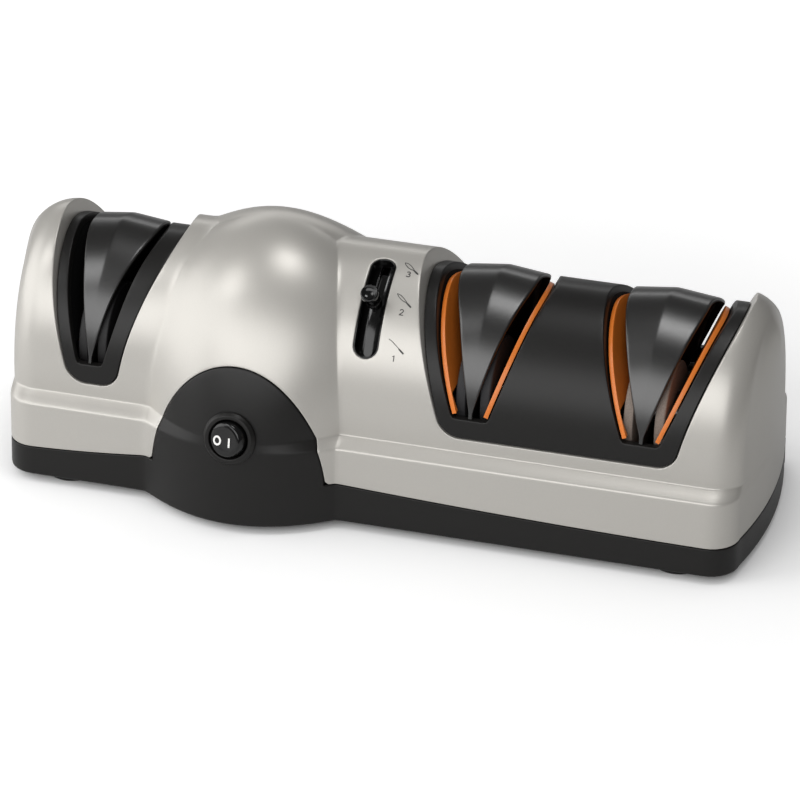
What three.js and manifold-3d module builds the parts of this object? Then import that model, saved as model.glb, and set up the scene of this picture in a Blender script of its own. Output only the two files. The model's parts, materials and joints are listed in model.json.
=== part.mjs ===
// Electric knife sharpener with three V-shaped stages, a motor under a dome and a rocker switch.
// Millimetres. +X runs along the body towards stages 1 and 2, -Y is the switch side, +Z is up.
// The origin is the middle of the footprint, on the surface that the feet stand on.
import * as THREE from 'three';
import { mergeVertices } from 'three/addons/utils/BufferGeometryUtils.js';
import Module from 'manifold-3d';

const wasm = await Module();
wasm.setup();

// Body: a long box with a draughted flank, a ledge, and an elliptic arch over it
const bodyLength = 340;
const baseHalfDepth = 58;
const flankDraft = 2.5;
const footHeight = 3.5;
const ledgeLow = 38;
const ledgeHigh = 42;
const ledgeDepth = 9;
const archHalfDepth = baseHalfDepth - ledgeDepth;
const archHeight = 67.2;
const archDepthPower = 1.74;
const archHeightPower = 2.12;
const endBulge = 5;
const cornerRadius = 13;
const endTopRadius = 20;
const endFlatShare = 0.3;
const wall = 2.5;
const fit = 0.3;
const overrun = 20;

// Dome over the motor, which runs down into the switch nose
const domeXShare = -0.16176;
const domeX = domeXShare * bodyLength;
const domeTop = 118;
const noseOut = 16.7;
const domeHalfLow = 43.5;
const domeHalfTop = 27;
const domeNarrowingPower = 1.5;
const domeRearSwell = 0.6;

// Parting line between the black base and the upper housing
const partingEnd = 16.8;
const partingRise = 4.7;
const panelHalfWidth = 40;
const panelFoot = 12;
const panelRise = 61;
const screwPostTop = 30;
const postRadius = 4.6;
const postInset = 15.4;
const postX = bodyLength / 2 - postInset;
const postYShare = 0.4655;
const postY = postYShare * baseHalfDepth;

// Stages: V slots, their hoods and their blade guides. A tip is a hood's narrow lower end
const slotFloor = 57;
const slotWall = 1.8;
const hoodRise = 2.8;
const hoodFall = 2.2;
const hoodHalfSpan = 21;
const hoodWall = 2;
const hoodSetback = 1.2;
const hoodLevels = 8;
const tipHalf = 0.9;
const fineTipHalf = 0.7;
const tipTopShare = 0.26786;
const tipTop = ledgeHigh + tipTopShare * archHeight;
const flarePower = 5;
const slotHalf1 = 9;
const slotHalf2 = 9.3;
const slotHalf3 = 6.6;
const stageXShares = { stage1: 0.13441, stage2: 0.35529, stage3: -0.37294 };
const stage1X = stageXShares.stage1 * bodyLength;
const stage2X = stageXShares.stage2 * bodyLength;
const stage3X = stageXShares.stage3 * bodyLength;
const stages = [
  { name: '1', x: stage1X, slot: slotHalf1, slotSlope: 0.375, tip: tipHalf, hoodSlope: 0.26, flare: 5.7 },
  { name: '2', x: stage2X, slot: slotHalf2, slotSlope: 0.4, tip: tipHalf, hoodSlope: 0.33, flare: 3.2 },
  { name: '3', x: stage3X, slot: slotHalf3, slotSlope: 0.29, tip: fineTipHalf, hoodSlope: 0.23, flare: 3.8 },
];
const guideWall = 2.2;
const guideGap = 0.9;
const guideDrop = 2.2;
const guideSetback = 0.3;
const guideFoot = 57.6;
const guideTravel = 0.5;

// Inserts that carry the stages, a little lower than the housing
const insertDrop = 6.5;
const insertWall = 2.6;
const insertFoot = 48.6;
const insertCorner = 6;
const outlineLevel = 60;
const rimDepth = 11;
const rimWall = 2;
const stage3Margins = { left: 12.1, right: 14.1 };
const stage12Margins = { left: 15.4, right: 17.3 };
const leftInsert = {
  left: stage3X - stage3Margins.left,
  right: stage3X + stage3Margins.right,
  leftSlope: 0.3,
  rightSlope: 0.2,
  leftBow: -0.001,
  rightBow: 0.0035,
};
const rightInsert = {
  left: stage1X - stage12Margins.left,
  right: stage2X + stage12Margins.right,
  leftSlope: 0.34,
  rightSlope: 0.27,
  leftBow: 0,
  rightBow: 0.0028,
};

// Drive line
const shaftYShare = -0.40816;
const shaftY = shaftYShare * archHalfDepth;
const shaftZ = 60;
const shaftRadius = 4;
const runningFit = 0.3;
const wheelRadius = 22.6;
const wheelThickness = 4.4;
const wheelStandout = 0.6;
const wheelHubRadius = 8;
const wheelHubRecess = 1.2;
const wheelClearance = 1.3;
const springWire = 1;
const springTurns = 2;
const wireSides = 6;
const bushRadius = 7;
const bushLength = 8;
const bracketThickness = 3.5;
const bracketHalfWidth = 11;
const middleBracketX = (stage1X + stage2X) / 2;

// Motor
const motorOffset = 3;
const motorX = domeX - motorOffset;
const motorLength = 56;
const canRadius = 26;
const canWall = 1.6;
const endbellThickness = 4;
const magnetThickness = 3.4;
const airGap = 0.8;
const rotorLength = 34;
const commutatorRadius = 9;
const commutatorLength = 9;
const fanRadius = 20;
const fanHubRadius = 8;
const fanLength = 8;
const fanBladeThickness = 1.2;
const fanBlades = 7;
const fanPitch = 0.5;
const cradleThickness = 4;
const cradleInset = 9;

// Blade selector: a lever that swings about an axle under the arch
const selectorXShare = -0.00882;
const selectorX = selectorXShare * bodyLength;
const selectorWidth = 11.3;
const selectorLowShare = 0.335;
const selectorMidShare = 0.6;
const selectorHighShare = 0.865;
const trackWall = 1.6;
const trackMargin = 3;
const leverThickness = 3;
const leverGap = 0.4;
const leverWidth = 5;
const leverHubRadius = 5.5;
const pinRadius = 2;
const knobRadius = 4;
const knobHeight = 5.5;
const knobStandoff = 0.6;
const knobCrown = 0.8;
const camRadius = 29;
const camThickness = 2.4;
const camHalfAngle = 0.42;
const yokeGap = 6;
const yokeThickness = 3;
const yokeHalfWidth = 7;

// Guide rods under the stages
const rodRadius = 2.5;
const rodZ = 50;
const rodStagger = 12;
const rodGap = 1.2;
const rodOverhang = 7.6;
const rodEnd = stage2X + rodOverhang;
const lugHalfWidth = 4;
const lugFoot = 46;
const rodBracketOffset = 17;
const rodBracketX = selectorX + rodBracketOffset;

// Rocker switch on the nose
const switchZ = 44;
const bezelRadius = 11.7;
const bezelHeight = 2.6;
const bezelLip = 1.4;
const rockerRadius = 8.4;
const rockerHeight = 3.3;
const rockerSkirt = 6;
const rockerTiltDegrees = 15;
const switchBodyRadius = 9.6;
const switchDepth = 13;
const padRadius = 13.2;
const padDepth = 6;
const switchGap = 0.35;

// Small parts
const footRadius = 12;
const footInsetX = 32;
const footInsetY = 16;
const footX = bodyLength / 2 - footInsetX;
const footY = baseHalfDepth - footInsetY;
const footPinRadius = 3;
const screwRadius = 1.7;
const screwHeadRadius = 3.4;
const screwHeadHeight = 2.2;
const screwReach = 16;
const glandXShare = -0.35294;
const glandX = glandXShare * bodyLength;
const glandZ = 12;
const glandRadius = 5;
const glandFlange = 7.5;
const glandOut = 2.6;
const glandBore = 3.4;
const boardLength = 34;
const boardWidth = 24;
const boardThickness = 1.6;
const boardPillar = 5;
const boardOffset = 39;
const boardX = selectorX + boardOffset;
const boardYShare = -0.58621;
const boardY = boardYShare * baseHalfDepth;

const paint = {
  silver: new THREE.MeshStandardMaterial({ color: '#c4c2bd', roughness: 0.42, metalness: 0.35 }),
  black: new THREE.MeshStandardMaterial({ color: '#262524', roughness: 0.45, metalness: 0 }),
  glossBlack: new THREE.MeshStandardMaterial({ color: '#161616', roughness: 0.15, metalness: 0 }),
  orange: new THREE.MeshStandardMaterial({ color: '#d8752a', roughness: 0.4, metalness: 0 }),
  abrasive: new THREE.MeshStandardMaterial({ color: '#857a72', roughness: 0.9, metalness: 0 }),
  steel: new THREE.MeshStandardMaterial({ color: '#b4b6b8', roughness: 0.3, metalness: 1 }),
  zinc: new THREE.MeshStandardMaterial({ color: '#8f9295', roughness: 0.5, metalness: 1 }),
  copper: new THREE.MeshStandardMaterial({ color: '#a5673f', roughness: 0.4, metalness: 1 }),
  bronze: new THREE.MeshStandardMaterial({ color: '#9b7a45', roughness: 0.5, metalness: 1 }),
  nylon: new THREE.MeshStandardMaterial({ color: '#d9d6cc', roughness: 0.6, metalness: 0 }),
  rubber: new THREE.MeshStandardMaterial({ color: '#1c1c1c', roughness: 0.9, metalness: 0 }),
  board: new THREE.MeshStandardMaterial({ color: '#2f5a3c', roughness: 0.6, metalness: 0 }),
};

// The end brackets stand just inside the screw posts, and the shaft ends there too
const endBracketX = postX - postRadius - bushLength / 2 - 2 * fit;
const bracketX = { left_end: -endBracketX, middle: middleBracketX, right_end: endBracketX };
const shaftReach = endBracketX + bushLength / 2;

// Geometry becomes a solid that can be cut and joined, and a solid becomes geometry again
function solid(geometry) {
  const bare = geometry.clone();
  for (const extra of ['normal', 'uv']) bare.deleteAttribute(extra);
  const merged = mergeVertices(bare);
  return new wasm.Manifold(new wasm.Mesh({
    numProp: 3,
    vertProperties: new Float32Array(merged.attributes.position.array),
    triVerts: new Uint32Array(merged.index.array),
  }));
}

function joined(...solids) {
  return solids.reduce((sum, next) => sum.add(next));
}

function without(body, ...cutters) {
  return cutters.reduce((rest, cutter) => rest.subtract(cutter), body);
}

function toGeometry(body) {
  const { vertProperties, triVerts } = body.getMesh();
  const geometry = new THREE.BufferGeometry();
  geometry.setAttribute('position', new THREE.BufferAttribute(new Float32Array(vertProperties), 3));
  geometry.setIndex(new THREE.BufferAttribute(new Uint32Array(triVerts), 1));
  geometry.computeVertexNormals();
  return geometry;
}

const sharpener = new THREE.Group();

function place(name, body, material) {
  const mesh = new THREE.Mesh(body.isBufferGeometry ? body : toGeometry(body), material);
  mesh.name = name;
  sharpener.add(mesh);
  return mesh;
}

// Simple solids along the body's axes
function block(x0, x1, y0, y1, z0, z1) {
  const box = new THREE.BoxGeometry(x1 - x0, y1 - y0, z1 - z0);
  return solid(box.translate((x0 + x1) / 2, (y0 + y1) / 2, (z0 + z1) / 2));
}

function slab(outline, y0, y1, curveSegments = 5) {
  const drawn = outline instanceof THREE.Shape;
  const shape = drawn ? outline : new THREE.Shape(outline.map(([x, z]) => new THREE.Vector2(x, z)));
  const bar = new THREE.ExtrudeGeometry(shape, { depth: y1 - y0, bevelEnabled: false, curveSegments });
  return solid(bar.rotateX(Math.PI / 2).translate(0, y1, 0));
}

function plate(outline, x0, x1) {
  const shape = new THREE.Shape(outline.map(([y, z]) => new THREE.Vector2(y, z)));
  const bar = new THREE.ExtrudeGeometry(shape, { depth: x1 - x0, bevelEnabled: false });
  const turn = new THREE.Matrix4().makeBasis(
    new THREE.Vector3(0, 1, 0), new THREE.Vector3(0, 0, 1), new THREE.Vector3(1, 0, 0));
  return solid(bar.applyMatrix4(turn).translate(x0, 0, 0));
}

function rod(radius, x0, x1, y, z, sides = 20) {
  const bar = new THREE.CylinderGeometry(radius, radius, x1 - x0, sides);
  return solid(bar.rotateZ(Math.PI / 2).translate((x0 + x1) / 2, y, z));
}

function upright(radius, x, y, z0, z1, sides = 16) {
  const bar = new THREE.CylinderGeometry(radius, radius, z1 - z0, sides);
  return solid(bar.rotateX(Math.PI / 2).translate(x, y, (z0 + z1) / 2));
}

// A profile of [radius, x] points turned about the drive line
function turned(profile, sides = 28, y = shaftY, z = shaftZ) {
  const closed = [...profile, profile[0]].map(([r, x]) => new THREE.Vector2(r, x));
  return solid(new THREE.LatheGeometry(closed, sides).rotateZ(-Math.PI / 2).translate(0, y, z));
}

function ring(inner, outer, x0, x1, sides = 28, y = shaftY, z = shaftZ) {
  return turned([[inner, x0], [outer, x0], [outer, x1], [inner, x1]], sides, y, z);
}

// The arch's section: phi runs from the front ledge over the crest to the rear ledge
function archPoint(phi, halfDepth, height) {
  const across = Math.cos(phi);
  const up = Math.max(Math.sin(phi), 0);
  return [
    -Math.sign(across) * halfDepth * Math.abs(across) ** (2 / archDepthPower),
    ledgeHigh + height * up ** (2 / archHeightPower),
  ];
}

// Selector: the axle is the centre of the circle through three points of its slot
const slotAngles = [selectorLowShare, selectorMidShare, selectorHighShare].map((s) => s * Math.PI / 2);
const slotPoints = slotAngles.map((phi) => archPoint(phi, archHalfDepth, archHeight));

function circleThrough([[ay, az], [by, bz], [cy, cz]]) {
  const d = 2 * (ay * (bz - cz) + by * (cz - az) + cy * (az - bz));
  const [a2, b2, c2] = [ay ** 2 + az ** 2, by ** 2 + bz ** 2, cy ** 2 + cz ** 2];
  const y = (a2 * (bz - cz) + b2 * (cz - az) + c2 * (az - bz)) / d;
  const z = (a2 * (cy - by) + b2 * (ay - cy) + c2 * (by - ay)) / d;
  return { y, z, radius: Math.hypot(ay - y, az - z) };
}

const pivot = circleThrough(slotPoints);
const rodLeftY = pivot.y + yokeHalfWidth + rodRadius + rodGap;
const rodY = { left: rodLeftY, right: rodLeftY + rodStagger };

// Rings of points, one for each station along X, become a closed body
function lofted(stations) {
  const count = stations[0].ring.length;
  const corners = [];
  const faces = [];
  for (const { x, ring: points } of stations) for (const [y, z] of points) corners.push(x, y, z);
  for (let s = 0; s + 1 < stations.length; s += 1) {
    for (let p = 0; p < count; p += 1) {
      const a = s * count + p;
      const b = s * count + (p + 1) % count;
      faces.push(a, b, a + count, b, b + count, a + count);
    }
  }
  for (const [s, flip] of [[0, true], [stations.length - 1, false]]) {
    const points = stations[s].ring;
    const hub = corners.length / 3;
    const middle = [0, 1].map((axis) => points.reduce((sum, point) => sum + point[axis], 0) / count);
    corners.push(stations[s].x, ...middle);
    for (let p = 0; p < count; p += 1) {
      const a = s * count + p;
      const b = s * count + (p + 1) % count;
      faces.push(hub, ...(flip ? [b, a] : [a, b]));
    }
  }
  const geometry = new THREE.BufferGeometry();
  geometry.setAttribute('position', new THREE.Float32BufferAttribute(corners, 3));
  geometry.setIndex(faces);
  return solid(geometry);
}

const archSteps = 14;

function archBar(stations) {
  return lofted(stations.map(({ x, halfDepth, height }) => {
    const points = Array.from({ length: archSteps + 1 }, (_, i) => (
      archPoint(Math.PI * i / archSteps, halfDepth, height)));
    points[archSteps][1] = ledgeHigh;
    return { x, ring: [...points].reverse() };
  }));
}

// Share of the depth, and drop of the crest, where the ends round off
function endShape(x, inset) {
  const half = bodyLength / 2 - inset;
  const fromEnd = half - Math.abs(x);
  const corner = cornerRadius - inset;
  const deep = baseHalfDepth - inset;
  const intoCorner = Math.min(Math.max(fromEnd - endBulge, 0), corner);
  const cornerPart = (deep - corner + Math.sqrt(corner ** 2 - (corner - intoCorner) ** 2)) / deep;
  const bulgePart = Math.sqrt(Math.min(Math.max(fromEnd, 0) / endBulge, 1));
  const intoTop = Math.min(fromEnd, endTopRadius);
  return {
    share: cornerPart * Math.max(bulgePart, endFlatShare),
    drop: endTopRadius - Math.sqrt(endTopRadius ** 2 - (endTopRadius - intoTop) ** 2),
  };
}

const flankShares = [0, 0.3, 0.62, 1];
const domeReach = baseHalfDepth + noseOut;

function domeHalf(phi) {
  const lean = Math.min(phi, Math.PI - phi) / (Math.PI / 2);
  return domeHalfLow - (domeHalfLow - domeHalfTop) * Math.max(lean, 0) ** domeNarrowingPower;
}

function swell(x, phi) {
  const t = (x - domeX) / domeHalf(phi);
  return Math.max(1 - t * t, 0);
}

// One section of the whole body at x, taken in by inset, from the front foot over to the rear foot
function bodySection(x, inset, foot) {
  const { share, drop } = endShape(x, inset);
  const height = archHeight - inset - drop;
  const halfDepth = archHalfDepth - inset;
  const low = ledgeLow - inset;
  const reach = domeReach - inset;
  const top = domeTop - inset;
  const flank = flankShares.map((s) => {
    const z = foot + (low - foot) * s;
    return [baseHalfDepth - inset - flankDraft * (z - footHeight) / (ledgeLow - footHeight), z];
  });
  const front = flank.map(([y, z]) => {
    const nose = reach * Math.sqrt(1 - (z / top) ** 2);
    return [-(y + (nose - y) * swell(x, 0)), z];
  });
  const psiLow = Math.asin(ledgeHigh / top);
  const arch = Array.from({ length: archSteps + 1 }, (_, i) => {
    const phi = Math.PI * i / archSteps;
    const [y, z] = archPoint(phi, halfDepth, height);
    const psi = psiLow + (Math.PI / 2 - psiLow) * phi / (Math.PI / 2);
    const frontSide = phi <= Math.PI / 2;
    const domeY = frontSide ? -reach * Math.cos(psi) : -(halfDepth + domeRearSwell) * Math.cos(phi);
    const domeZ = frontSide ? top * Math.sin(psi) : ledgeHigh + (top - ledgeHigh) * Math.sin(phi);
    const g = swell(x, phi);
    return [y + (domeY - y) * g, z + (domeZ - z) * g];
  });
  arch[archSteps][1] = ledgeHigh;
  const rear = [...flank].reverse();
  return [...front, ...arch, ...rear].map(([y, z]) => [y * share, z]).reverse();
}

// Stations crowd together where the ends round off and where the dome stands out
const endShares = [0, 0.07, 0.25, 0.5, 0.8, 1.1];
const domeShares = [-1.25, -1, -0.86, -0.68, -0.46, -0.24, 0, 0.24, 0.46, 0.68, 0.86, 1, 1.25];

function bodyShell(inset, foot) {
  const half = bodyLength / 2 - inset;
  const endRun = endBulge + cornerRadius - inset;
  const ends = endShares.map((s) => s * endRun);
  const xs = [
    ...ends.map((d) => -half + d),
    ...domeShares.map((s) => domeX + s * domeHalfLow),
    ...[...ends].reverse().map((d) => half - d),
  ];
  return lofted(xs.map((x) => ({ x, ring: bodySection(x, inset, foot) })));
}

const outerBody = bodyShell(0, footHeight);
const innerBody = bodyShell(wall, footHeight + wall);
const farY = baseHalfDepth + noseOut + overrun;

// Everything below the parting line, grown by gap: a shallow band, and the nose panel's arch in front
const partingSteps = 12;

function belowParting(gap) {
  const half = bodyLength / 2 + overrun;
  const line = [[-half, partingEnd + gap]];
  for (const [side, edge] of [[-1, domeX - panelHalfWidth], [1, domeX + panelHalfWidth]]) {
    const run = bodyLength / 2 - side * edge;
    const points = Array.from({ length: partingSteps + 1 }, (_, i) => {
      const t = i / partingSteps;
      return [edge + side * run * t, partingEnd + partingRise * (1 - t) ** 2 + gap];
    });
    line.push(...(side < 0 ? points.reverse() : points));
  }
  line.push([half, partingEnd + gap], [half, 0], [-half, 0]);
  const band = slab(line, -farY, farY);
  const arch = Array.from({ length: 2 * partingSteps + 1 }, (_, i) => {
    const turn = Math.PI * i / (2 * partingSteps);
    return [domeX + (panelHalfWidth + gap) * Math.cos(turn), panelFoot + (panelRise + gap) * Math.sin(turn)];
  });
  return band.add(slab(arch, -farY, -baseHalfDepth / 2));
}

// The switch's frame on the nose: origin on the surface, +Z out of the panel
const switchY = -domeReach * Math.sqrt(1 - (switchZ / domeTop) ** 2);
const switchLean = Math.atan((domeReach / domeTop) ** 2 * switchZ / -switchY);
const onPanel = new THREE.Matrix4()
  .makeTranslation(domeX, switchY, switchZ)
  .multiply(new THREE.Matrix4().makeRotationX(Math.PI / 2 - switchLean));

function panelTurned(profile, sides = 28) {
  const closed = [...profile, profile[0]].map(([r, h]) => new THREE.Vector2(r, h));
  const geometry = new THREE.LatheGeometry(closed, sides).rotateX(Math.PI / 2);
  return solid(geometry.applyMatrix4(onPanel));
}

function panelDisc(radius, low, high, sides = 28) {
  return panelTurned([[0, low], [radius, low], [radius, high], [0, high]], sides);
}

// Black base: floor, band and switch nose in one moulding, with screw posts and the cord's hole
const cornersOf = (x, y) => [[-x, -y], [x, -y], [-x, y], [x, y]];
const floorTop = footHeight + wall;
const postHole = screwRadius + fit;

function makeBase() {
  const shell = without(outerBody, innerBody).intersect(belowParting(0));
  const posts = cornersOf(postX, postY).map(([x, y]) => upright(postRadius, x, y, footHeight, screwPostTop));
  const pad = panelDisc(padRadius, -padDepth, 0).intersect(outerBody);
  const pillars = cornersOf(boardLength / 2 - boardPillar, boardWidth / 2 - boardPillar).map(([x, y]) => (
    upright(boardPillar / 2, boardX + x, boardY + y, footHeight, floorTop + boardPillar)));
  const holes = cornersOf(postX, postY).flatMap(([x, y]) => [
    upright(postHole, x, y, 0, screwPostTop + overrun),
    upright(screwHeadRadius + fit, x, y, 0, footHeight + screwHeadHeight + fit),
  ]);
  const footHoles = cornersOf(footX, footY).map(([x, y]) => (
    upright(footPinRadius + fit, x, y, 0, floorTop + wall)));
  const cordHole = new THREE.CylinderGeometry(glandRadius + fit, glandRadius + fit, 2 * overrun, 20);
  return without(
    joined(shell, ...posts, pad, ...pillars),
    ...holes,
    ...footHoles,
    panelDisc(switchBodyRadius + fit, -overrun, overrun),
    solid(cordHole.translate(glandX, baseHalfDepth, glandZ)),
  );
}

// Outline of an insert seen from the front, grown by grow
function insertOutline({ left, right, leftSlope, rightSlope, leftBow, rightBow }, grow) {
  const top = domeTop + overrun;
  const foot = insertFoot - grow;
  const corner = foot + insertCorner;
  const middle = (corner + top) / 2;
  const spread = (slope, bow, z) => slope * (z - outlineLevel) + bow * (z - outlineLevel) ** 2;
  const leftSide = (z) => left - grow - spread(leftSlope, leftBow, z);
  const rightSide = (z) => right + grow + spread(rightSlope, rightBow, z);
  const control = (side) => 2 * side(middle) - (side(corner) + side(top)) / 2;
  const shape = new THREE.Shape();
  shape.moveTo(leftSide(top), top);
  shape.quadraticCurveTo(control(leftSide), middle, leftSide(corner), corner);
  shape.quadraticCurveTo(leftSide(foot), foot, left - grow + 2 * insertCorner, foot);
  shape.lineTo(right + grow - 2 * insertCorner, foot);
  shape.quadraticCurveTo(rightSide(foot), foot, rightSide(corner), corner);
  shape.quadraticCurveTo(control(rightSide), middle, rightSide(top), top);
  return shape;
}

const insertX = (insert) => [insert.left - 2 * overrun, insert.right + 2 * overrun];

function archOver(insert, lessDepth, lessHeight) {
  return archBar(insertX(insert).map((x) => (
    { x, halfDepth: archHalfDepth - lessDepth, height: archHeight - lessHeight })));
}

function makeHousing() {
  const shell = without(outerBody, innerBody, belowParting(fit));
  const posts = cornersOf(postX, postY).map(([x, y]) => (
    upright(postRadius, x, y, screwPostTop + fit, domeTop).intersect(outerBody)));
  let housing = joined(shell, ...posts);
  for (const insert of [leftInsert, rightInsert]) {
    const rim = slab(insertOutline(insert, fit + rimWall), -farY, farY)
      .intersect(archOver(insert, 0, 0))
      .intersect(outerBody);
    housing = without(
      joined(housing, without(rim, archOver(insert, rimDepth / 2, rimDepth))),
      slab(insertOutline(insert, fit), -farY, farY));
  }
  const screwHoles = cornersOf(postX, postY).map(([x, y]) => (
    upright(postHole, x, y, 0, footHeight + screwReach + screwPostTop)));
  return without(housing, ...screwHoles, selectorSlot());
}

// The V of a stage at height z: the opening's half width and the hood's half width
const slotHalf = (stage, z) => stage.slot + stage.slotSlope * (z - outlineLevel);
const hoodCrest = ledgeHigh + archHeight - insertDrop + hoodRise;
function hoodHalf(stage, z) {
  const rise = Math.max(z - tipTop, 0);
  return stage.tip + stage.hoodSlope * rise + stage.flare * (rise / (hoodCrest - tipTop)) ** flarePower;
}
const wheelFace = (stage) => hoodHalf(stage, shaftZ + wheelRadius) + wheelStandout;

function wheelPocket(stage) {
  const half = wheelFace(stage) + wheelClearance;
  const [x0, x1] = [stage.x - 2 * overrun, stage.x + 2 * overrun];
  const tunnel = rod(shaftRadius + wheelClearance, x0, x1, shaftY, shaftZ);
  return rod(wheelRadius + wheelClearance, stage.x - half, stage.x + half, shaftY, shaftZ, 28).add(tunnel);
}

function slotOpening(stage, grow) {
  const top = domeTop + overrun;
  const low = slotHalf(stage, slotFloor) + grow;
  const high = slotHalf(stage, top) + grow;
  return slab([
    [stage.x - low, slotFloor], [stage.x + low, slotFloor], [stage.x + high, top], [stage.x - high, top],
  ], -farY, farY);
}

function makeInsert(insert, ownStages) {
  const within = slab(insertOutline(insert, 0), -farY, farY);
  const full = archOver(insert, 0, insertDrop);
  const shell = without(full, archOver(insert, insertWall, insertDrop + insertWall)).intersect(within);
  const walls = ownStages.map((stage) => slotOpening(stage, slotWall).intersect(full).intersect(within));
  return without(
    joined(shell, ...walls),
    ...ownStages.map((stage) => slotOpening(stage, 0)),
    ...ownStages.map(wheelPocket),
  );
}

// A hood is a hollow wedge with a gable crest, over its pair of wheels. It flares towards the crest
function hoodWedge(stage, shrink, foot) {
  const closed = shrink > stage.tip;
  const start = closed ? tipTop + (shrink - stage.tip) / stage.hoodSlope : tipTop;
  const profile = closed ? [[0, start]] : [[stage.tip - shrink, foot], [stage.tip - shrink, start]];
  for (let i = 1; i <= hoodLevels; i += 1) {
    const z = start + (hoodCrest - start) * i / hoodLevels;
    profile.push([hoodHalf(stage, z) - shrink, z]);
  }
  profile.push([hoodHalf(stage, hoodCrest) - shrink, domeTop + overrun]);
  const right = profile.map(([half, z]) => [stage.x + half, z]);
  const left = profile.filter(([half]) => half > 0).map(([half, z]) => [stage.x - half, z]).reverse();
  return slab([...right, ...left], -farY, farY);
}

function hoodArch(stage, less) {
  const height = archHeight - insertDrop + hoodRise - less;
  const halfDepth = archHalfDepth - hoodSetback - less;
  return archBar([
    { x: stage.x - hoodHalfSpan, halfDepth, height: height - hoodFall },
    { x: stage.x, halfDepth, height },
    { x: stage.x + hoodHalfSpan, halfDepth, height: height - hoodFall },
  ]);
}

function makeHood(stage) {
  const outer = hoodWedge(stage, 0, slotFloor + fit).intersect(hoodArch(stage, 0));
  const inner = hoodWedge(stage, hoodWall, slotFloor).intersect(hoodArch(stage, hoodWall));
  return without(outer, inner, wheelPocket(stage));
}

// A blade guide lines the outer wall of a slot, and a lug under it grips its rod
function makeGuide(stage, side) {
  const outerAt = (z) => slotHalf(stage, z) - guideGap;
  const innerAt = (z) => outerAt(z) - guideWall;
  const top = domeTop + overrun;
  const leaning = slab([
    [stage.x + side * innerAt(guideFoot), guideFoot], [stage.x + side * outerAt(guideFoot), guideFoot],
    [stage.x + side * outerAt(top), top], [stage.x + side * innerAt(top), top],
  ], -farY, farY);
  const arch = archBar([stage.x - 2 * overrun, stage.x + 2 * overrun].map((x) => (
    { x, halfDepth: archHalfDepth - guideSetback, height: archHeight - insertDrop - guideDrop })));
  const sheet = leaning.intersect(arch);
  const y = side < 0 ? rodY.left : rodY.right;
  const ends = [innerAt(guideFoot), outerAt(guideFoot)].map((reach) => stage.x + side * reach);
  const lug = block(
    Math.min(...ends), Math.max(...ends), y - lugHalfWidth, y + lugHalfWidth, lugFoot, guideFoot + guideWall);
  return without(
    joined(sheet, lug),
    wheelPocket(stage),
    rod(rodRadius + fit, stage.x - overrun, stage.x + overrun, y, rodZ),
  );
}

// Wheels: a pair for each stage, dished at the hub, with a spring between them
function makeWheel(stage, side) {
  const face = stage.x + side * wheelFace(stage);
  const back = face - side * wheelThickness;
  const dish = face - side * wheelHubRecess;
  const profile = [
    [shaftRadius + runningFit, back], [wheelRadius, back], [wheelRadius, face],
    [wheelHubRadius + wheelHubRecess, face], [wheelHubRadius, dish], [shaftRadius + runningFit, dish],
  ];
  return turned(side > 0 ? profile : [...profile].reverse(), 26);
}

function makeSpring(stage) {
  const half = wheelFace(stage) - wheelThickness - fit - springWire / 2;
  const radius = shaftRadius + runningFit + springWire;
  const steps = springTurns * 10;
  const points = Array.from({ length: steps + 1 }, (_, i) => {
    const turn = 2 * Math.PI * springTurns * i / steps;
    const x = stage.x - half + 2 * half * i / steps;
    return new THREE.Vector3(x, shaftY + radius * Math.cos(turn), shaftZ + radius * Math.sin(turn));
  });
  const section = new THREE.Shape(Array.from({ length: wireSides }, (_, i) => (
    new THREE.Vector2(0, springWire / 2).rotateAround(new THREE.Vector2(), -2 * Math.PI * i / wireSides))));
  return solid(new THREE.ExtrudeGeometry(section, {
    steps, bevelEnabled: false, extrudePath: new THREE.CatmullRomCurve3(points) }));
}

// Brackets stand on the floor and hold the shaft's bushes
function makeBracket(x, withRods) {
  const half = bracketThickness / 2;
  const post = block(x - half, x + half, shaftY - bracketHalfWidth, shaftY + bracketHalfWidth,
    floorTop + fit, shaftZ + bracketHalfWidth);
  const wing = block(x - half, x + half, shaftY, rodY.right + lugHalfWidth,
    floorTop + fit, rodZ + lugHalfWidth);
  const bore = rod(bushRadius + fit, x - overrun, x + overrun, shaftY, shaftZ);
  const rodHoles = Object.values(rodY).map((y) => rod(rodRadius + fit, x - overrun, x + overrun, y, rodZ));
  return withRods ? without(joined(post, wing), bore, ...rodHoles) : without(post, bore);
}

// Motor: can, two magnets, end bells, rotor, commutator and fan on the drive shaft
const canInner = canRadius - canWall;
const magnetInner = canInner - fit - magnetThickness;
const motorLeft = motorX - motorLength / 2;
const motorRight = motorX + motorLength / 2;

function makeMagnet(side) {
  const length = rotorLength / 2;
  const shell = ring(magnetInner, canInner - fit, motorX - length, motorX + length, 32);
  const reach = canRadius + overrun;
  const gapHalf = magnetInner / 2;
  const z0 = side > 0 ? shaftZ + gapHalf : shaftZ - reach;
  const z1 = side > 0 ? shaftZ + reach : shaftZ - gapHalf;
  return shell.intersect(block(motorX - reach, motorX + reach, shaftY - reach, shaftY + reach, z0, z1));
}

function makeFan(x) {
  const bore = shaftRadius + runningFit;
  const bladeSpan = fanRadius - fanHubRadius + fanBladeThickness;
  const blade = new THREE.BoxGeometry(fanLength, bladeSpan, fanBladeThickness);
  blade.rotateY(fanPitch).translate(0, (fanRadius + fanHubRadius - fanBladeThickness) / 2, 0);
  const blades = Array.from({ length: fanBlades }, (_, i) => (
    solid(blade.clone().rotateX(2 * Math.PI * i / fanBlades).translate(x, shaftY, shaftZ))));
  return without(
    joined(ring(bore, fanHubRadius, x - fanLength / 2, x + fanLength / 2), ...blades),
    rod(bore, x - overrun, x + overrun, shaftY, shaftZ, 28),
  );
}

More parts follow.
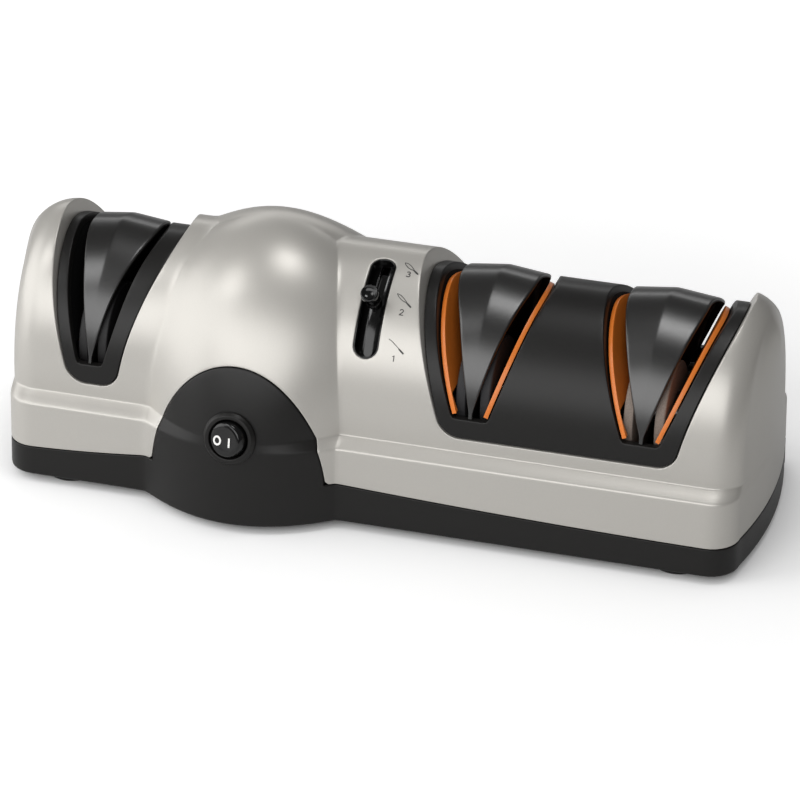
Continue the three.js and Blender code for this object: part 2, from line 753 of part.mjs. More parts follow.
function makeCradle() {
  const half = canRadius * Math.cos(Math.PI / 6);
  const rib = (x) => without(
    plate([
      [shaftY - half, floorTop + fit], [shaftY + half, floorTop + fit],
      [shaftY + half, shaftZ], [shaftY - half, shaftZ],
    ], x, x + cradleThickness),
    rod(canRadius + fit, x - overrun, x + overrun, shaftY, shaftZ, 40),
  );
  const first = motorLeft + cradleInset;
  const second = motorRight - cradleInset - cradleThickness;
  const tie = block(first, second + cradleThickness, shaftY - half, shaftY + half,
    floorTop + fit, floorTop + fit + cradleThickness);
  return joined(rib(first), rib(second), tie);
}

// Bearings about the axle of the slot's ends and its middle
const bearingOf = ([y, z]) => Math.atan2(z - pivot.z, y - pivot.y);
const [slotLow, slotMid, slotHigh] = slotPoints.map(bearingOf);

// A wedge about the axle between two bearings, from radius r0 to r1
function sector(from, to, r0, r1, x0, x1, steps = 10) {
  const arc = (r, a, b) => Array.from({ length: steps + 1 }, (_, i) => {
    const turn = a + (b - a) * i / steps;
    return [pivot.y + r * Math.cos(turn), pivot.z + r * Math.sin(turn)];
  });
  return plate([...arc(r1, from, to), ...arc(r0, to, from)], x0, x1);
}

// A round bar that points away from the axle at a bearing
function spoke(radius, bearing, r0, r1, x = selectorX, sides = 20) {
  const bar = new THREE.CylinderGeometry(radius, radius, r1 - r0, sides).translate(0, (r0 + r1) / 2, 0);
  return solid(bar.rotateX(bearing).translate(x, pivot.y, pivot.z));
}

function selectorSlot() {
  const half = selectorWidth / 2;
  const [r0, r1] = [pivot.radius - overrun / 2, pivot.radius + overrun / 2];
  const from = slotHigh + half / pivot.radius;
  const to = slotLow - half / pivot.radius;
  return joined(
    sector(from, to, r0, r1, selectorX - half, selectorX + half),
    spoke(half, from, r0, r1),
    spoke(half, to, r0, r1),
  );
}

// The track lines the slot from inside, and the lever's neck runs in its slit
const leverSwing = (slotLow - slotHigh) / 2 - (selectorWidth / 2 + leverWidth) / pivot.radius / 2;

function archLayer(inset) {
  const reach = selectorWidth / 2 + trackMargin;
  return archBar([selectorX - reach, selectorX + reach].map((x) => (
    { x, halfDepth: archHalfDepth - inset, height: archHeight - inset })));
}

function makeTrack() {
  const layer = without(archLayer(wall + fit), archLayer(wall + fit + trackWall));
  const reach = selectorWidth / 2 + trackMargin;
  const margin = trackMargin / pivot.radius;
  const span = sector(slotHigh - margin, slotLow + margin, pivot.radius / 2, pivot.radius + overrun,
    selectorX - reach, selectorX + reach);
  const slitHalf = leverThickness / 2 + leverGap;
  const neckTurn = (leverWidth / 2 + leverGap) / (pivot.radius - overrun);
  const slit = sector(slotMid - leverSwing - neckTurn, slotMid + leverSwing + neckTurn,
    pivot.radius / 2, pivot.radius + overrun, selectorX - slitHalf, selectorX + slitHalf);
  return without(layer.intersect(span), slit);
}

const knobFoot = pivot.radius + knobStandoff;

function makeLever() {
  const [x0, x1] = [selectorX - leverThickness / 2, selectorX + leverThickness / 2];
  const half = leverWidth / 2;
  const along = (r, off) => [
    pivot.y + r * Math.cos(slotMid) - off * Math.sin(slotMid),
    pivot.z + r * Math.sin(slotMid) + off * Math.cos(slotMid),
  ];
  const end = knobFoot - fit;
  const arm = plate([along(0, half), along(0, -half), along(end, -half), along(end, half)].reverse(), x0, x1);
  const hub = rod(leverHubRadius, x0, x1, pivot.y, pivot.z);
  return without(joined(arm, hub), rod(pinRadius + fit, x0 - overrun, x1 + overrun, pivot.y, pivot.z));
}

function makeKnob() {
  const crown = new THREE.LatheGeometry([
    [0, knobFoot], [knobRadius, knobFoot], [knobRadius, knobFoot + knobHeight - knobCrown],
    [knobRadius - knobCrown, knobFoot + knobHeight], [0, knobFoot + knobHeight],
  ].map(([r, h]) => new THREE.Vector2(r, h)), 24);
  return solid(crown.rotateX(slotMid).translate(selectorX, pivot.y, pivot.z));
}

// The cam is a sector on the lever's hub, whose face meets the ends of the guide rods
const camX = selectorX + leverThickness / 2 + fit;
const rodBearing = Math.atan2(rodZ - pivot.z, (rodY.left + rodY.right) / 2 - pivot.y);

function makeCam() {
  const [from, to] = [rodBearing - camHalfAngle, rodBearing + camHalfAngle];
  const fan = sector(from, to, 0, camRadius, camX, camX + camThickness, 8);
  const hub = rod(leverHubRadius, camX, camX + camThickness, pivot.y, pivot.z);
  return without(joined(fan, hub), rod(pinRadius + fit, camX - overrun, camX + overrun, pivot.y, pivot.z));
}

// A yoke on the floor holds the lever's axle pin
function makeYoke() {
  const cheek = (x) => without(
    block(x, x + yokeThickness, pivot.y - yokeHalfWidth, pivot.y + yokeHalfWidth,
      floorTop + fit, pivot.z + yokeHalfWidth),
    rod(pinRadius + fit, x - overrun, x + overrun, pivot.y, pivot.z));
  const left = selectorX - yokeGap - yokeThickness;
  const right = selectorX + yokeGap;
  const foot = block(left, right + yokeThickness, pivot.y - yokeHalfWidth, pivot.y + yokeHalfWidth,
    floorTop + fit, floorTop + fit + yokeThickness);
  return joined(cheek(left), cheek(right), foot);
}

// Rocker switch
function makeBezel() {
  return panelTurned([
    [rockerRadius + switchGap, fit], [bezelRadius, fit],
    [bezelRadius - bezelLip / 2, bezelHeight - bezelLip / 2],
    [bezelRadius - bezelLip, bezelHeight], [rockerRadius + switchGap, bezelHeight],
  ]);
}

// At rest the on side, +X, stands up
const rockerTilt = -THREE.MathUtils.degToRad(rockerTiltDegrees);

// The rocker is a slice of a ball about its axle, so it clears the bezel at both ends of its swing
function makeRocker() {
  const ball = new THREE.SphereGeometry(rockerRadius, 24, 16).applyMatrix4(onPanel);
  const slice = panelDisc(rockerRadius + switchGap, -rockerSkirt, rockerRadius);
  const above = new THREE.BoxGeometry(2 * overrun, 2 * overrun, overrun)
    .translate(0, 0, overrun / 2 + rockerHeight)
    .applyMatrix4(new THREE.Matrix4().makeRotationY(rockerTilt))
    .applyMatrix4(onPanel);
  return without(solid(ball).intersect(slice), solid(above));
}

function makeSwitchBody() {
  const cup = panelDisc(switchBodyRadius, -switchDepth, 0);
  const well = panelDisc(rockerRadius + switchGap, -rockerSkirt - leverThickness, overrun);
  return without(cup, well);
}

function makeFoot(x, y) {
  return joined(
    upright(footRadius, x, y, 0, footHeight - fit, 28),
    upright(footPinRadius, x, y, footHeight - fit, floorTop + fit),
  );
}

function makeScrew(x, y) {
  const headFoot = footHeight + fit / 2;
  return joined(
    upright(screwHeadRadius, x, y, headFoot, headFoot + screwHeadHeight - fit, 12),
    upright(screwRadius, x, y, headFoot, screwPostTop + screwReach, 10),
  );
}

function makeGland() {
  const outer = baseHalfDepth + glandOut;
  const profile = [
    [glandBore, baseHalfDepth - 2 * wall], [glandRadius, baseHalfDepth - 2 * wall],
    [glandRadius, baseHalfDepth + fit], [glandFlange, baseHalfDepth + fit],
    [glandFlange - glandOut / 2, outer], [glandBore, outer],
  ];
  const closed = [...profile, profile[0]].map(([r, h]) => new THREE.Vector2(r, h));
  return solid(new THREE.LatheGeometry(closed, 24).translate(glandX, 0, glandZ));
}

// Assembly
place('base_pan', makeBase(), paint.black);
place('upper_housing', makeHousing(), paint.silver);
place('stage_3_insert', makeInsert(leftInsert, stages.slice(2)), paint.black);
place('stage_1_2_insert', makeInsert(rightInsert, stages.slice(0, 2)), paint.black);

for (const stage of stages) {
  place(`hood_${stage.name}`, makeHood(stage), paint.black);
  place(`wheel_${stage.name}_left`, makeWheel(stage, -1), paint.abrasive);
  place(`wheel_${stage.name}_right`, makeWheel(stage, 1), paint.abrasive);
  place(`wheel_spring_${stage.name}`, makeSpring(stage), paint.steel);
  if (stage.x > domeX) {
    place(`guide_${stage.name}_left`, makeGuide(stage, -1), paint.orange);
    place(`guide_${stage.name}_right`, makeGuide(stage, 1), paint.orange);
  }
}

const rodStart = camX + camThickness + guideTravel + fit;
place('guide_rod_left', rod(rodRadius, rodStart, rodEnd, rodY.left, rodZ, 14), paint.steel);
place('guide_rod_right', rod(rodRadius, rodStart, rodEnd, rodY.right, rodZ, 14), paint.steel);

const rodBracketHalf = bracketThickness / 2;
place('rod_bracket', without(
  block(rodBracketX - rodBracketHalf, rodBracketX + rodBracketHalf, rodY.left - 2 * lugHalfWidth,
    rodY.right + 2 * lugHalfWidth, floorTop + fit, rodZ + 2 * lugHalfWidth),
  ...Object.values(rodY).map((y) => (
    rod(rodRadius + fit, rodBracketX - overrun, rodBracketX + overrun, y, rodZ))),
), paint.nylon);

for (const [where, x] of Object.entries(bracketX)) {
  place(`bearing_bracket_${where}`, makeBracket(x, where === 'middle'), paint.zinc);
  place(`bearing_bush_${where}`, ring(shaftRadius + runningFit, bushRadius, x - bushLength / 2,
    x + bushLength / 2, 20), paint.bronze);
}

place('drive_shaft', rod(shaftRadius, -shaftReach, shaftReach, shaftY, shaftZ), paint.steel);
place('motor_can', ring(canInner, canRadius, motorLeft, motorRight, 36), paint.zinc);
place('motor_endbell_left', ring(shaftRadius + runningFit, canRadius, motorLeft - fit - endbellThickness,
  motorLeft - fit, 32), paint.zinc);
place('motor_endbell_right', ring(shaftRadius + runningFit, canRadius, motorRight + fit,
  motorRight + fit + endbellThickness, 32), paint.zinc);
place('motor_magnet_upper', makeMagnet(1), paint.zinc);
place('motor_magnet_lower', makeMagnet(-1), paint.zinc);
place('motor_rotor', ring(shaftRadius + runningFit, magnetInner - airGap, motorX - rotorLength / 2,
  motorX + rotorLength / 2, 28), paint.steel);
place('motor_commutator', ring(shaftRadius + runningFit, commutatorRadius, motorX + rotorLength / 2 + fit,
  motorX + rotorLength / 2 + fit + commutatorLength, 20), paint.copper);
place('motor_fan', makeFan(motorLeft - 2 * endbellThickness - fanLength / 2), paint.nylon);
place('motor_cradle', makeCradle(), paint.nylon);

place('selector_track', makeTrack(), paint.glossBlack);
place('selector_lever', makeLever(), paint.steel);
place('selector_knob', makeKnob(), paint.glossBlack);
place('selector_cam', makeCam(), paint.steel);
place('selector_pin', rod(pinRadius, selectorX - yokeGap - yokeThickness, selectorX + yokeGap + yokeThickness,
  pivot.y, pivot.z, 12), paint.steel);
place('selector_yoke', makeYoke(), paint.nylon);

place('switch_bezel', makeBezel(), paint.black);
place('switch_rocker', makeRocker(), paint.glossBlack);
place('switch_body', makeSwitchBody(), paint.black);

cornersOf(footX, footY).forEach(([x, y], i) => place(`rubber_foot_${i + 1}`, makeFoot(x, y), paint.rubber));
cornersOf(postX, postY).forEach(([x, y], i) => place(`base_screw_${i + 1}`, makeScrew(x, y), paint.steel));
place('cord_gland', makeGland(), paint.rubber);
const boardFoot = floorTop + boardPillar + fit;
place('rectifier_board', block(boardX - boardLength / 2, boardX + boardLength / 2, boardY - boardWidth / 2,
  boardY + boardWidth / 2, boardFoot, boardFoot + boardThickness), paint.board);

// The nose reaches further forward than the gland reaches back, so the footprint's middle is shifted
sharpener.position.y = (domeReach - baseHalfDepth - glandOut) / 2;

export default sharpener;
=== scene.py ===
# %% [markdown]
# # An electric knife sharpener
# The real object is a bench-top machine about 340 mm long. A silver arched housing clips onto a black
# base, a dome covers the motor, and V-shaped slots with orange blade guides lead a knife past pairs of
# grinding wheels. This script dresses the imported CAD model. Most of the outer skin is made again here
# at a finer pitch, from the same rules that the CAD model follows, so that its curves and edges catch
# the light as moulded plastic does. Every length below is in millimetres unless its name says metres.

import json
import math
from functools import partial

import bmesh
import bpy
import numpy as np
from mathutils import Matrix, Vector


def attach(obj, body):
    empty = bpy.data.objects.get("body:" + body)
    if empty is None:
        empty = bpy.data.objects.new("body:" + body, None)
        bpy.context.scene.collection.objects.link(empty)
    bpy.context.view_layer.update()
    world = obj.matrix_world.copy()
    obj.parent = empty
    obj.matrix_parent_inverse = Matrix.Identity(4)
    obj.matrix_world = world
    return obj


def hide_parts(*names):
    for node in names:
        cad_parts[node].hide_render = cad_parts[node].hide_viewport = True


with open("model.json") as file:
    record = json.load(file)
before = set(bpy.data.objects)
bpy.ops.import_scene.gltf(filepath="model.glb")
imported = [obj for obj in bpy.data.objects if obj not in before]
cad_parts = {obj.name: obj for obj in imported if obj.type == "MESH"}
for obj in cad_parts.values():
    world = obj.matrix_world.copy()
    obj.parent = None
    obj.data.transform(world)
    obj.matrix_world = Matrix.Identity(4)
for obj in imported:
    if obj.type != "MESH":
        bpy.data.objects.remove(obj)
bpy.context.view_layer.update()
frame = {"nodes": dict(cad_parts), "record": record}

# %% [markdown]
# ## The frame of the drawing
# The CAD model puts its origin in the middle of the footprint. The rules of the body are simpler about
# the body's own middle, which lies a little further back, so each mesh is drawn there and moved once.

# %% Units and small helpers
MM, WELD = 0.001, 2e-6
NOSE_REACH, REAR_REACH = 74.7, 60.6
SHIFT = np.array([0.0, (NOSE_REACH - REAR_REACH) / 2, 0.0])
SIDES = {"left": -1.0, "right": 1.0}


def linear(code):
    """An sRGB hex value as linear red, green, blue and alpha."""
    parts = [int(code[i:i + 2], 16) / 255 for i in (1, 3, 5)]
    return [c / 12.92 if c <= 0.04045 else ((c + 0.055) / 1.055) ** 2.4 for c in parts] + [1.0]


def node(tree, kind, settings=None, **inputs):
    """Adds a node, sets its properties and its inputs, and links the inputs that are sockets."""
    made = tree.nodes.new(kind)
    for key, value in (settings or {}).items():
        setattr(made, key, value)
    for key, value in inputs.items():
        name = key.replace("_", " ")
        socket = made.inputs[int(key[1:])] if key[0] == "i" and key[1:].isdigit() else made.inputs[name]
        if isinstance(value, bpy.types.NodeSocket):
            tree.links.new(value, socket)
        else:
            socket.default_value = value
    return made


def add_object(name, data):
    obj = bpy.data.objects.new(name, data)
    bpy.context.scene.collection.objects.link(obj)
    return obj


def clean(mesh, sharp, weld=False):
    """Points the faces outwards and shades them, and counts the open edges."""
    work = bmesh.new()
    work.from_mesh(mesh)
    if weld:
        bmesh.ops.remove_doubles(work, verts=work.verts, dist=WELD)
        bmesh.ops.dissolve_degenerate(work, edges=work.edges, dist=WELD / 2)
    bmesh.ops.recalc_face_normals(work, faces=work.faces)
    loose = sum(1 for edge in work.edges if len(edge.link_faces) != 2)
    work.to_mesh(mesh)
    work.free()
    mesh.shade_smooth()
    mesh.set_sharp_from_angle(angle=math.radians(sharp))
    return loose


def declare(obj, body, slot, replaces):
    """Says which body a piece rides on and which CAD nodes it replaces. slot is not used."""
    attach(obj, body)
    if replaces:
        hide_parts(*replaces)


def piece(name, verts, faces, material, body, slot, replaces=(), sharp=35, inside=None):
    """A mesh in millimetres about the body's middle becomes a finished piece that rides on a body.
    inside is a second finish, and a list that says which faces carry it."""
    mesh = bpy.data.meshes.new(name)
    mesh.from_pydata(((np.asarray(verts) + SHIFT) * MM).tolist(), [], faces)
    if inside:
        mesh.polygons.foreach_set("material_index", [int(flag) for flag in inside[1]])
    loose = clean(mesh, sharp, weld=True)
    for finished in [material] + ([inside[0]] if inside else []):
        mesh.materials.append(finished)
    declare(add_object(name, mesh), body, slot, replaces)
    print(f"{name}: {len(mesh.polygons)} faces, {loose} open edges")


# %% [markdown]
# ## Materials
# Each finish starts from what the part is made of and how it was made. Plastics keep an IOR near 1.5,
# and their colour and roughness are matched to the object. Metals keep the default IOR.

# %% One recipe for every finish
def finish(name, colour, roughness, metallic=0.0, ior=1.5, coat=0.0, coat_roughness=0.1, gleam=0.5,
           mottle=(0.0, 1.0), grain=(0.0, 1.0), rough_spread=0.0, stretch=(1, 1, 1)):
    """A finish with a slow mottle of colour and a fine grain of bumps. Sizes are in millimetres."""
    material = bpy.data.materials.new(name)
    material.use_nodes = True
    tree = material.node_tree
    shader = tree.nodes["Principled BSDF"]
    for label, value in {"Metallic": metallic, "IOR": ior, "Specular IOR Level": gleam, "Coat Weight": coat,
                         "Coat Roughness": coat_roughness}.items():
        shader.inputs[label].default_value = value
    place = node(tree, "ShaderNodeTexCoord").outputs["Object"]
    if stretch != (1, 1, 1):
        place = node(tree, "ShaderNodeMapping", Vector=place, Scale=stretch).outputs["Vector"]
    amount, size = mottle
    slow = node(tree, "ShaderNodeTexNoise", Vector=place, Scale=1 / (size * MM), Detail=3.0)
    base = linear(colour)
    dark, light = ([min(c * (1 + k * amount), 1.0) for c in base[:3]] + [1.0] for k in (-1, 1))
    mixed = node(tree, "ShaderNodeMix", {"data_type": "RGBA"}, i0=slow.outputs["Fac"], i6=dark, i7=light)
    tree.links.new(mixed.outputs[2], shader.inputs["Base Color"])
    spread = node(tree, "ShaderNodeMapRange", Value=slow.outputs["Fac"], To_Min=roughness - rough_spread,
                  To_Max=roughness + rough_spread)
    tree.links.new(spread.outputs["Result"], shader.inputs["Roughness"])
    height, size = grain
    if height:
        fine = node(tree, "ShaderNodeTexNoise", Vector=place, Scale=1 / (size * MM), Detail=2.0)
        bump = node(tree, "ShaderNodeBump", Strength=1.0, Distance=height * MM, Height=fine.outputs["Fac"])
        tree.links.new(bump.outputs["Normal"], shader.inputs["Normal"])
    return material


# ABS sprayed with silver lacquer: a soft sheen, and flakes 0.05 mm wide, drawn 0.7 mm wide to show
silver_paint = finish("silver_lacquered_abs", "#bfbcb6", 0.36, metallic=0.4, coat=0.15, coat_roughness=0.35,
                      mottle=(0.035, 0.7), grain=(0.006, 0.6), rough_spread=0.04)
# Moulded black ABS with a fine spark texture, which scatters its highlights
black_abs = finish("spark_textured_black_abs", "#161514", 0.38, gleam=0.32, mottle=(0.12, 1.2),
                   grain=(0.008, 0.5), rough_spread=0.05)
# The hoods come from a smoother mould, so their roofs gleam where the inserts stay dull
hood_abs = finish("satin_black_abs", "#131211", 0.3, gleam=1.0, mottle=(0.12, 1.2), grain=(0.004, 0.5),
                  rough_spread=0.04)
# Inside faces of the same mouldings, rougher because no polished steel has touched them, and painted darker
# than the outer black as painted shade for the hollows
inside_shade_abs = finish("unpolished_shade_darkened_abs", "#0a0a0a", 0.65, gleam=0.2, mottle=(0.15, 1.5), grain=(0.01, 0.6))
# The same plastic from a polished mould, on the shutter and the rocker
gloss_abs = finish("polished_black_abs", "#0c0c0c", 0.14, mottle=(0.1, 3.0), grain=(0.001, 1.5),
                   rough_spread=0.03)
# Orange ABS, moulded and left satin
orange_abs = finish("satin_orange_abs", "#e07a2b", 0.34, mottle=(0.06, 2.5), grain=(0.003, 0.8),
                    rough_spread=0.04)
# Steel wheels with diamond grit bonded to them: grit 0.1 mm wide, drawn 0.6 mm wide to show. All three
# stages carry the same grit. Stage 2 shows its grey-brown, and stage 1 and stage 3 get darker copies of it
# as painted shade in their slots: dark grey at stage 1, nearly black at stage 3
grit = finish("bonded_coarse_grit", "#84786f", 0.75, metallic=0.15, mottle=(0.45, 0.6), grain=(0.12, 0.5),
              rough_spread=0.12)
grit_in_shade = finish("bonded_grit_painted_shade", "#2a2a2c", 0.7, metallic=0.15, mottle=(0.35, 0.6), grain=(0.06, 0.5),
                   rough_spread=0.1)
grit_in_deep_shade = finish("bonded_grit_painted_deep_shade", "#121112", 0.6, mottle=(0.3, 0.8), grain=(0.03, 0.6))
STAGE_GRIT_AND_SHADE = {"1": grit_in_shade, "2": grit, "3": grit_in_deep_shade}
white_ink = finish("white_pad_print", "#f2f1ee", 0.5, mottle=(0.02, 1.0))
dark_ink = finish("dark_pad_print", "#3c3b3a", 0.55, mottle=(0.05, 1.0))
foot_rubber = finish("moulded_nitrile_rubber", "#1b1b1b", 0.75, mottle=(0.15, 1.5), grain=(0.02, 0.6))
ground_steel = finish("ground_carbon_steel", "#b9babc", 0.28, metallic=1.0, mottle=(0.08, 1.0),
                      grain=(0.002, 0.4), stretch=(0.1, 1, 1))
zinc_plate = finish("zinc_plated_sheet", "#9da1a5", 0.42, metallic=1.0, mottle=(0.12, 4.0), rough_spread=0.08)
ferrite = finish("sintered_ferrite", "#3a3a3d", 0.6, metallic=0.2, mottle=(0.2, 1.0), grain=(0.01, 0.5))
copper_bar = finish("drawn_copper", "#b86f45", 0.32, metallic=1.0, mottle=(0.1, 2.0), stretch=(0.2, 1, 1))
bronze = finish("oil_filled_sintered_bronze", "#a07c46", 0.5, metallic=1.0, mottle=(0.2, 0.8))
nylon = finish("natural_nylon", "#dcd8cc", 0.5, mottle=(0.04, 5.0), grain=(0.003, 1.0))
glass_epoxy = finish("green_glass_epoxy", "#2f5c3d", 0.35, mottle=(0.08, 1.0), stretch=(1, 0.2, 1))

FINISH_OF_SLOT = {
    "silver": silver_paint, "black": black_abs, "gloss_black": gloss_abs, "orange": orange_abs,
    "abrasive": grit, "steel": ground_steel, "zinc": zinc_plate, "magnet": ferrite, "copper": copper_bar,
    "bronze": bronze, "nylon": nylon, "rubber": foot_rubber, "board": glass_epoxy,
}

# %% [markdown]
# ## CAD nodes that stay
# The pieces inside the case keep their CAD shape. Each takes the finish of its slot in the record.

# %% Finishes for the CAD nodes
for entry in frame["record"]["subparts"]:
    carried = frame["nodes"][entry["node"]]
    carried.data.materials.clear()
    carried.data.materials.append(FINISH_OF_SLOT[entry["material_slot"]])

# %% [markdown]
# ## The rule of the body
# Seen from its end, the body is a draughted flank, a sloping ledge and a tall arch. The arch is a
# superellipse: depth goes with cos to one power, height with sin to another. The dome and the switch
# nose pull the section out towards an ellipse, most at the dome's middle and not at all at its edge.

# %% Sizes of the body
LENGTH = 340.0
HALF_DEPTH, DRAFT, FOOT = 58.0, 2.5, 3.5
LEDGE_LOW, LEDGE_HIGH = 38.0, 42.0
ARCH_DEPTH, ARCH_HEIGHT = 49.0, 67.2
DEPTH_POWER, HEIGHT_POWER = 1.74, 2.12
END_BULGE, CORNER_RADIUS, END_TOP_RADIUS = 5.0, 13.0, 20.0
DOME_X, DOME_TOP = -55.0, 118.0
DOME_LOW, DOME_HIGH, DOME_POWER = 43.5, 27.0, 1.5
REAR_SWELL, VALLEY_LEFT, VALLEY_RIGHT, SWELL_REACH = 0.6, 0.07, 0.03, 1.45
WALL = 2.5


def arch(phi, depth, height):
    """The arch's section: phi runs from the front ledge over the crest to the rear ledge."""
    across, up = np.cos(phi), np.clip(np.sin(phi), 0, None)
    return (-np.sign(across) * depth * np.abs(across) ** (2 / DEPTH_POWER),
            LEDGE_HIGH + height * up ** (2 / HEIGHT_POWER))


def end_shape(x, inset):
    """Share of the depth that is left near an end, and how far the crest has dropped there."""
    left = np.clip(LENGTH / 2 - inset - np.abs(x), 0, None)
    corner, deep = CORNER_RADIUS - inset, HALF_DEPTH - inset
    into = np.clip(left - END_BULGE, 0, corner)
    rounded = (deep - corner + np.sqrt(corner ** 2 - (corner - into) ** 2)) / deep
    bulged = np.sqrt(np.clip(left / END_BULGE, 0, 1))
    top = np.minimum(left, END_TOP_RADIUS)
    return rounded * bulged, END_TOP_RADIUS - np.sqrt(END_TOP_RADIUS ** 2 - (END_TOP_RADIUS - top) ** 2)


def dome_half(phi):
    """Half the dome's width: widest at the two ledges, narrowest over the crest."""
    lean = np.clip(np.minimum(phi, math.pi - phi) / (math.pi / 2), 0, None)
    return DOME_LOW - (DOME_LOW - DOME_HIGH) * lean ** DOME_POWER


def swell(t):
    """1 at the dome's middle, 0 outside it, with a softer valley on the left than on the right."""
    soft = np.where(t < 0, VALLEY_LEFT, VALLEY_RIGHT)
    rest = 1 - t * t
    return np.clip(0.5 * (rest + np.sqrt(rest * rest + soft * soft)), 0, 1) * (np.abs(t) < SWELL_REACH)


# %% [markdown]
# ## Columns and rows
# A mesh shades cleanly when its lines follow the creases of the shape. So the columns bend with the
# dome's edge, crowd together at the rounded ends, and the rows follow the ledge's two edges.

# %% Columns along the body
END_RUN = END_BULGE + CORNER_RADIUS
END_STEPS, LEFT_STEPS, DOME_STEPS, RIGHT_STEPS, DOME_CROWD = 9, 36, 59, 100, 1.35
end_run = np.concatenate([
    END_BULGE * np.linspace(0, 1, END_STEPS) ** 2,
    END_BULGE + CORNER_RADIUS * (1 - np.cos(np.linspace(0, math.pi / 2, END_STEPS)[1:]))])
left_share, right_share = (np.linspace(0, 1, steps)[1:-1] for steps in (LEFT_STEPS, RIGHT_STEPS))
dome_t = np.sin(np.linspace(-1, 1, DOME_STEPS) * DOME_CROWD) / math.sin(DOME_CROWD)


def columns(phi, inset):
    """X of every column at one row, and t across the dome."""
    half, knee = dome_half(phi), LENGTH / 2 - END_RUN
    left_edge, right_edge = DOME_X - half, DOME_X + half
    x = np.concatenate([
        end_run - LENGTH / 2, (left_edge + knee) * left_share - knee, DOME_X + half * dome_t,
        right_edge + (knee - right_edge) * right_share, LENGTH / 2 - end_run[::-1]])
    t = (x - DOME_X) / half
    share = np.clip((np.abs(x) - knee) / END_RUN, 0, None)
    return np.where(np.abs(x) > knee, np.sign(x) * (knee + share * (END_RUN - inset)), x), t


# %% Rows round the section
# Sizes of the rounds at the skirt, the ledge's brink and the ledge's valley, outside and inside
SKIRT_ROUND, BRINK_ROUND, VALLEY_ROUND = (1.6, 0.4), (1.1, 0.25), (0.7, 1.2)
UNDER_ROWS, FLANK_ROWS, ARCH_ROWS, ARCH_EDGE, TANGENT, TANGENT_PHI = 14, 15, 118, 0.03, 4.0, 0.09


def section(inset):
    """The whole skin as a grid of points: rows go round the section, columns go along the body."""
    flank_top, deep = LEDGE_LOW - inset, HALF_DEPTH - inset
    foot, reach, top = FOOT + inset, NOSE_REACH - inset, DOME_TOP - inset
    skirt, edge, valley = (size[inset > 0] for size in (SKIRT_ROUND, BRINK_ROUND, VALLEY_ROUND))

    def flank_y(z, t, side):
        y = deep - DRAFT * (z - FOOT) / (LEDGE_LOW - FOOT)
        if side > 0:
            return y
        nose = reach * np.sqrt(np.clip(1 - (z / top) ** 2, 0, 1))
        return -(y + (nose - y) * swell(t))

    def arch_yz(phi, x, t):
        drop = end_shape(x, inset)[1]
        y, z = arch(phi, ARCH_DEPTH - inset, ARCH_HEIGHT - inset - drop)
        psi_low = math.asin(LEDGE_HIGH / top)
        if phi <= math.pi / 2:
            psi = psi_low + (math.pi / 2 - psi_low) * phi / (math.pi / 2)
            dome_y, dome_z = -reach * math.cos(psi), top * math.sin(psi)
        else:
            dome_y = -(ARCH_DEPTH - inset + REAR_SWELL) * math.cos(phi)
            dome_z = LEDGE_HIGH + (top - LEDGE_HIGH) * math.sin(phi)
        g = swell(t)
        return y + (dome_y - y) * g, z + (dome_z - z) * g

    def rounded(a, b, c, radius, share):
        """A point on the fillet at corner b of the path a, b, c."""
        def away(p, q):
            gap = np.hypot(q[0] - p[0], q[1] - p[1]) + 1e-9
            r = np.minimum(radius, 0.45 * gap)
            return [p[i] + (q[i] - p[i]) * r / gap for i in (0, 1)]
        start, stop = away(b, a), away(b, c)
        return [(1 - share) ** 2 * start[i] + 2 * share * (1 - share) * b[i] + share ** 2 * stop[i]
                for i in (0, 1)]

    x, t = columns(0.0, inset)
    ones = np.ones_like(x)
    share = end_shape(x, inset)[0]

    def half(side):
        """Rows from the middle of the underside up to the foot of the arch."""
        corner = (flank_y(foot, t, side), foot * ones)
        up = (flank_y(foot + TANGENT, t, side), (foot + TANGENT) * ones)
        low = (flank_y(flank_top, t, side), flank_top * ones)
        below = (flank_y(flank_top - TANGENT, t, side), (flank_top - TANGENT) * ones)
        high, above = (arch_yz(phi if side < 0 else math.pi - phi, x, t) for phi in (0.0, TANGENT_PHI))
        made = [(corner[0] * s, foot * ones) for s in np.linspace(0.06, 0.93, UNDER_ROWS)]
        made += [rounded((corner[0] * 0.9, foot * ones), corner, up, skirt, s)
                 for s in np.linspace(0, 1, 5)]
        made += [(flank_y(z, t, side), z * ones)
                 for z in np.linspace(foot + skirt + 1.2, flank_top - edge - 0.8, FLANK_ROWS)]
        made += [rounded(below, low, high, edge, s) for s in np.linspace(0, 1, 6)]
        made.append([(low[i] + high[i]) / 2 for i in (0, 1)])
        made += [rounded(low, high, above, valley, s) for s in np.linspace(0, 1, 5)]
        return [(x, y * share, z) for y, z in made]

    rows = half(-1)
    for phi in np.linspace(ARCH_EDGE, math.pi - ARCH_EDGE, ARCH_ROWS):
        px, pt = columns(phi, inset)
        py, pz = arch_yz(phi, px, pt)
        rows.append((px, py * end_shape(px, inset)[0], pz))
    rows += half(1)[::-1]
    return np.stack([np.stack(row, axis=-1) for row in rows])


outer_skin = section(0.0)
inner_skin = section(WALL)
print("skin grid:", outer_skin.shape, "height", round(float(outer_skin[..., 2].max()), 2))

# %% [markdown]
# ## Cutting a grid along a curve
# A boolean leaves ragged triangles at a cut. Here each opening is a rule that says how far a point is
# from its edge. Cells that the edge crosses are cut exactly on it, and the edge then gets a small
# round and a wall that goes down into the opening, as a moulded edge has.

# %% Trim and rim
def grid_normals(points, wrap):
    """The outward direction at every point of a grid."""
    pad = np.concatenate([points[-1:], points, points[:1]]) if wrap else np.concatenate(
        [2 * points[:1] - points[1:2], points, 2 * points[-1:] - points[-2:-1]])
    normal = np.cross(np.gradient(points, axis=1), pad[2:] - pad[:-2])
    size = np.linalg.norm(normal, axis=-1, keepdims=True)
    return normal / np.where(size < 1e-9, 1, size)


